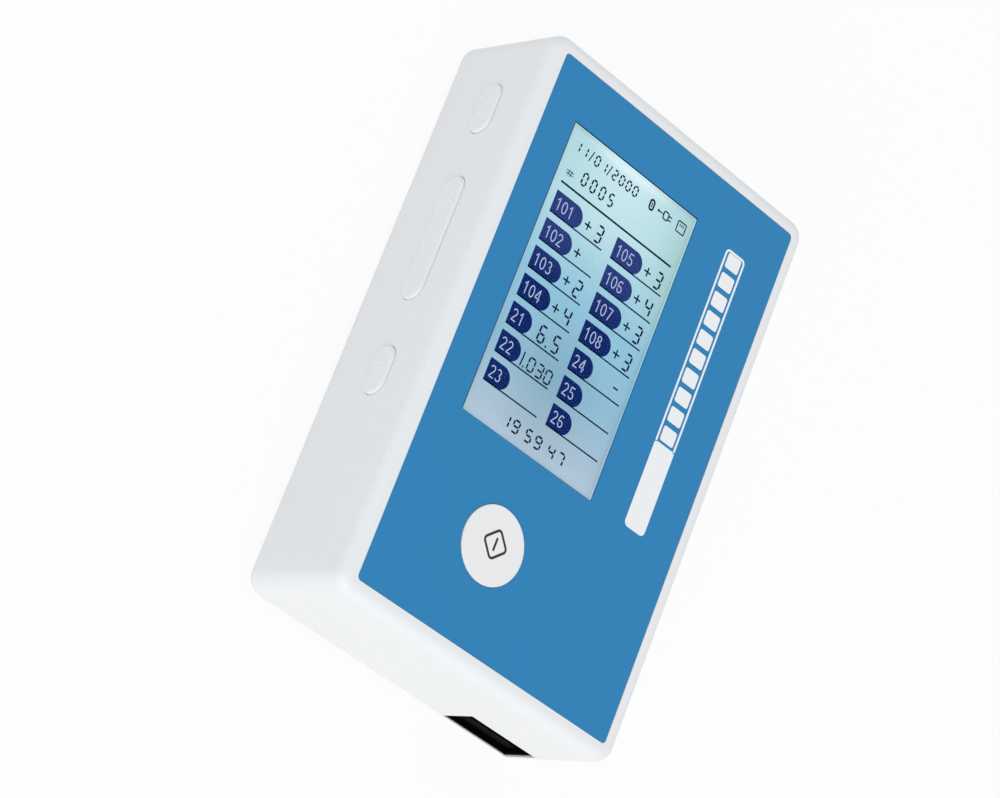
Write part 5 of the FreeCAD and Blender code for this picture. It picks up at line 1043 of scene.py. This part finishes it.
class MakeStatusSigns(bpy.types.Operator):
    """Three plain signs at the head of the display: a radio, a plug and a memory card"""
    bl_idname = "analyzer.make_status_signs"
    bl_label = "Display signs"

    def execute(self, context):
        sizes, colours = context.scene.analyzer_display, context.scene.analyzer_colours
        low, high = print_levels(sizes)
        origin = np.array(marks_corner(sizes))

        def spots(points):
            return origin + np.asarray(points, float) * (MM, -MM)

        def ring(centre, half_x, half_y, radius, weight):
            outline = round_outline(centre, half_x, half_y, radius)[::-1]
            return swept_bars(spots(outline)[None], weight * MM, low, high, closed=True)

        def lines(middle, ends, weight):
            return swept_bars(spots(np.array(middle) + ends), weight * MM, low, high)

        # The middle of each sign. Its lines are measured from there, in millimetres right and down.
        radio, plug, card = (26.45, 3.35), (30.7, 3.35), (35.7, 3.35)
        cable_start, cable_end = spots((plug[0] - 2.4, plug[1])), spots((plug[0] - 1.8, plug[1]))
        shapes = [ring(radio, 0.58, 1.1, 0.57, 0.42),
                  lines(radio, [[(0, -0.6), (0, 0.6)]], 0.24),
                  slab(cable_start, cable_end, 0.6 * MM, 0.29 * MM, 0.29 * MM, low, high),
                  lines(plug, [[(-1.9, 0), (-0.5, 0)]], 0.26),
                  ring((plug[0] + 0.2, plug[1]), 0.7, 0.85, 0.35, 0.3),
                  lines(plug, [[(0.9, side), (1.9, side)] for side in (-0.42, 0.42)], 0.28),
                  ring(card, 1.2, 1.2, 0.25, 0.27),
                  lines(card, [[(step, -0.75), (step, -0.15)] for step in (-0.5, 0.0, 0.5)], 0.2)]
        make_piece("display_signs", shapes, "case",
                   new_material("liquid_crystal_signs", driven_crystal, colours.segment))
        return {"FINISHED"}


class MakeStripSign(bpy.types.Operator):
    """White sign of a reagent strip printed on the film beside the display"""
    bl_idname = "analyzer.make_strip_sign"
    bl_label = "Strip sign"

    def execute(self, context):
        marks, colours = context.scene.analyzer_marks, context.scene.analyzer_colours
        low, high = FILM_TOP - SUNK, FILM_TOP + marks.film_ink
        x, start, whole, wide = marks.strip_centre, marks.strip_start, marks.strip_length, marks.strip_width
        # A bare handle, then the pads between two rails that bend round the far end.
        handle, pads, rail, bend = 0.3 * whole, 10, 0.5 * MM, 0.9 * MM
        shapes = [slab((x, start), (x, start + handle), wide, 1.2 * MM, 0.05 * MM, low, high)]
        pitch = (whole - handle) / pads
        side = 0.74 * pitch  # of a pad, the rest of the pitch being the gap to the next
        for place in range(pads):
            middle = start + handle + (place + 0.5) * pitch
            shapes.append(slab((x, middle - side / 2), (x, middle + side / 2), wide - 4 * rail, 0.5 * MM,
                               0.5 * MM, low, high))
        edge = wide / 2 - rail / 2
        far = start + whole - rail / 2
        corner = arc_points((x + edge - bend, far - bend), bend, 0, 90, steps=10)
        right = np.concatenate([[(x + edge, start + handle - 0.2 * MM)], corner])
        loop = np.concatenate([right, ((2 * x, 0) + right * (-1, 1))[::-1]])  # and its mirror image
        shapes.append(swept_bars(loop[None], rail, low, high))
        make_piece("strip_sign", shapes, "case",
                   new_material("screen_ink_white", printed_ink, colours.ink))
        return {"FINISHED"}


# ------------------------------------------------------------------ studio
FLOOR_GLOW = 0.9  # part of what is seen of the floor that is an even white, the rest being lit paper


def seen(tree):
    """1 for rays that show a thing, straight on, mirrored or through glass, and 0 for those that light."""
    path = add(tree, "ShaderNodeLightPath")
    return both(tree, path.outputs["Is Camera Ray"],
                both(tree, path.outputs["Is Glossy Ray"], path.outputs["Is Transmission Ray"]))


def white_floor(tree):
    """Pale studio paper: matt, with a soft fibre. It looks near white and keeps the shadow."""
    point = place_in_mm(tree)
    paper = add(tree, "ShaderNodeBsdfPrincipled", {
        "Base Color": mottled(tree, point, 60, linear("EFEFEF"), linear("F4F4F4")), "Roughness": 0.9,
        "Normal": grained(tree, point, 2.0, 0.02)})
    glow = add(tree, "ShaderNodeEmission", {"Color": (1, 1, 1, 1), "Strength": 1.0})
    share = add(tree, "ShaderNodeMath", {0: seen(tree), 1: FLOOR_GLOW}, operation="MULTIPLY")
    return add(tree, "ShaderNodeMixShader", {0: share.outputs[0], 1: paper.outputs[0],
                                             2: glow.outputs[0]}).outputs[0]


class MakeStudio(bpy.types.Operator):
    """Pale floor, soft light from all round, one soft lamp and the camera"""
    bl_idname = "analyzer.make_studio"
    bl_label = "Studio"

    def execute(self, context):
        scene, studio = context.scene, context.scene.analyzer_studio
        half, level = studio.floor_half, -studio.floor_drop
        mesh = bpy.data.meshes.new("studio_floor")
        mesh.from_pydata([(-half, -half, level), (half, -half, level), (half, half, level),
                          (-half, half, level)], [], [(0, 1, 2, 3)])
        mesh.materials.append(new_material("studio_paper", white_floor))
        floor = bpy.data.objects.new("studio_floor", mesh)
        scene.collection.objects.link(floor)

        world = bpy.data.worlds.new("studio_sky")
        world.use_nodes = True
        tree = world.node_tree
        tree.nodes.clear()
        shade = blend(tree, seen(tree), [studio.sky * channel for channel in studio.sky_tint], WHITE)
        sky = add(tree, "ShaderNodeBackground", {"Color": shade, "Strength": 1.0})
        add(tree, "ShaderNodeOutputWorld", {"Surface": sky.outputs[0]})
        scene.world = world

        light = bpy.data.lights.new("soft_lamp", "AREA")
        light.shape, light.size, light.energy = "SQUARE", studio.lamp_size, studio.lamp
        light.color = studio.lamp_colour
        lamp = bpy.data.objects.new("soft_lamp", light)
        lamp.location = studio.lamp_place
        lamp.rotation_euler = Vector(studio.lamp_place).to_track_quat("Z", "Y").to_euler()
        scene.collection.objects.link(lamp)

        view = bpy.data.cameras.new("camera")
        view.sensor_width, view.lens, view.clip_start = 36.0, studio.focal_length, 0.01
        camera = bpy.data.objects.new("camera", view)
        camera.location = studio.camera_place
        camera.rotation_euler = Euler(studio.camera_turn, "XYZ")
        scene.collection.objects.link(camera)
        scene.camera = camera
        scene.view_settings.view_transform = "Standard"
        return {"FINISHED"}


# ------------------------------------------------------------------ add-on
STEPS = (DressHousing, DressKeys, DressDisplay, DressElectronics, DressOptics, DressDrive, DressUnderside,
         MakePolariser, MakeBadges, MakeReadings, MakeStatusSigns, MakeFilmEdgeShade, MakeStripSign,
         MakeStudio)


class ANALYZER_PT_steps(bpy.types.Panel):
    """Lists the steps that dress the analyzer"""
    bl_idname = "ANALYZER_PT_steps"
    bl_label = "Urine analyzer"
    bl_space_type = "VIEW_3D"
    bl_region_type = "UI"
    bl_category = "Analyzer"

    def draw(self, context):
        for step in STEPS:
            self.layout.operator(step.bl_idname, text=step.bl_label)


def register():
    """Registers the groups, operators and panel, and hangs the groups on the scene."""
    for cls in (*GROUPS.values(), *STEPS, ANALYZER_PT_steps):
        bpy.utils.register_class(cls)
    for name, group in GROUPS.items():
        setattr(bpy.types.Scene, name, PointerProperty(type=group))


def unregister():
    """Takes back what register did, in the opposite order."""
    for name in reversed(GROUPS):
        delattr(bpy.types.Scene, name)
    for cls in reversed((*GROUPS.values(), *STEPS, ANALYZER_PT_steps)):
        bpy.utils.unregister_class(cls)


def main():
    register()
    for step in STEPS:
        family, name = step.bl_idname.split(".")
        getattr(getattr(bpy.ops, family), name)()


if __name__ == "__main__":
    main()
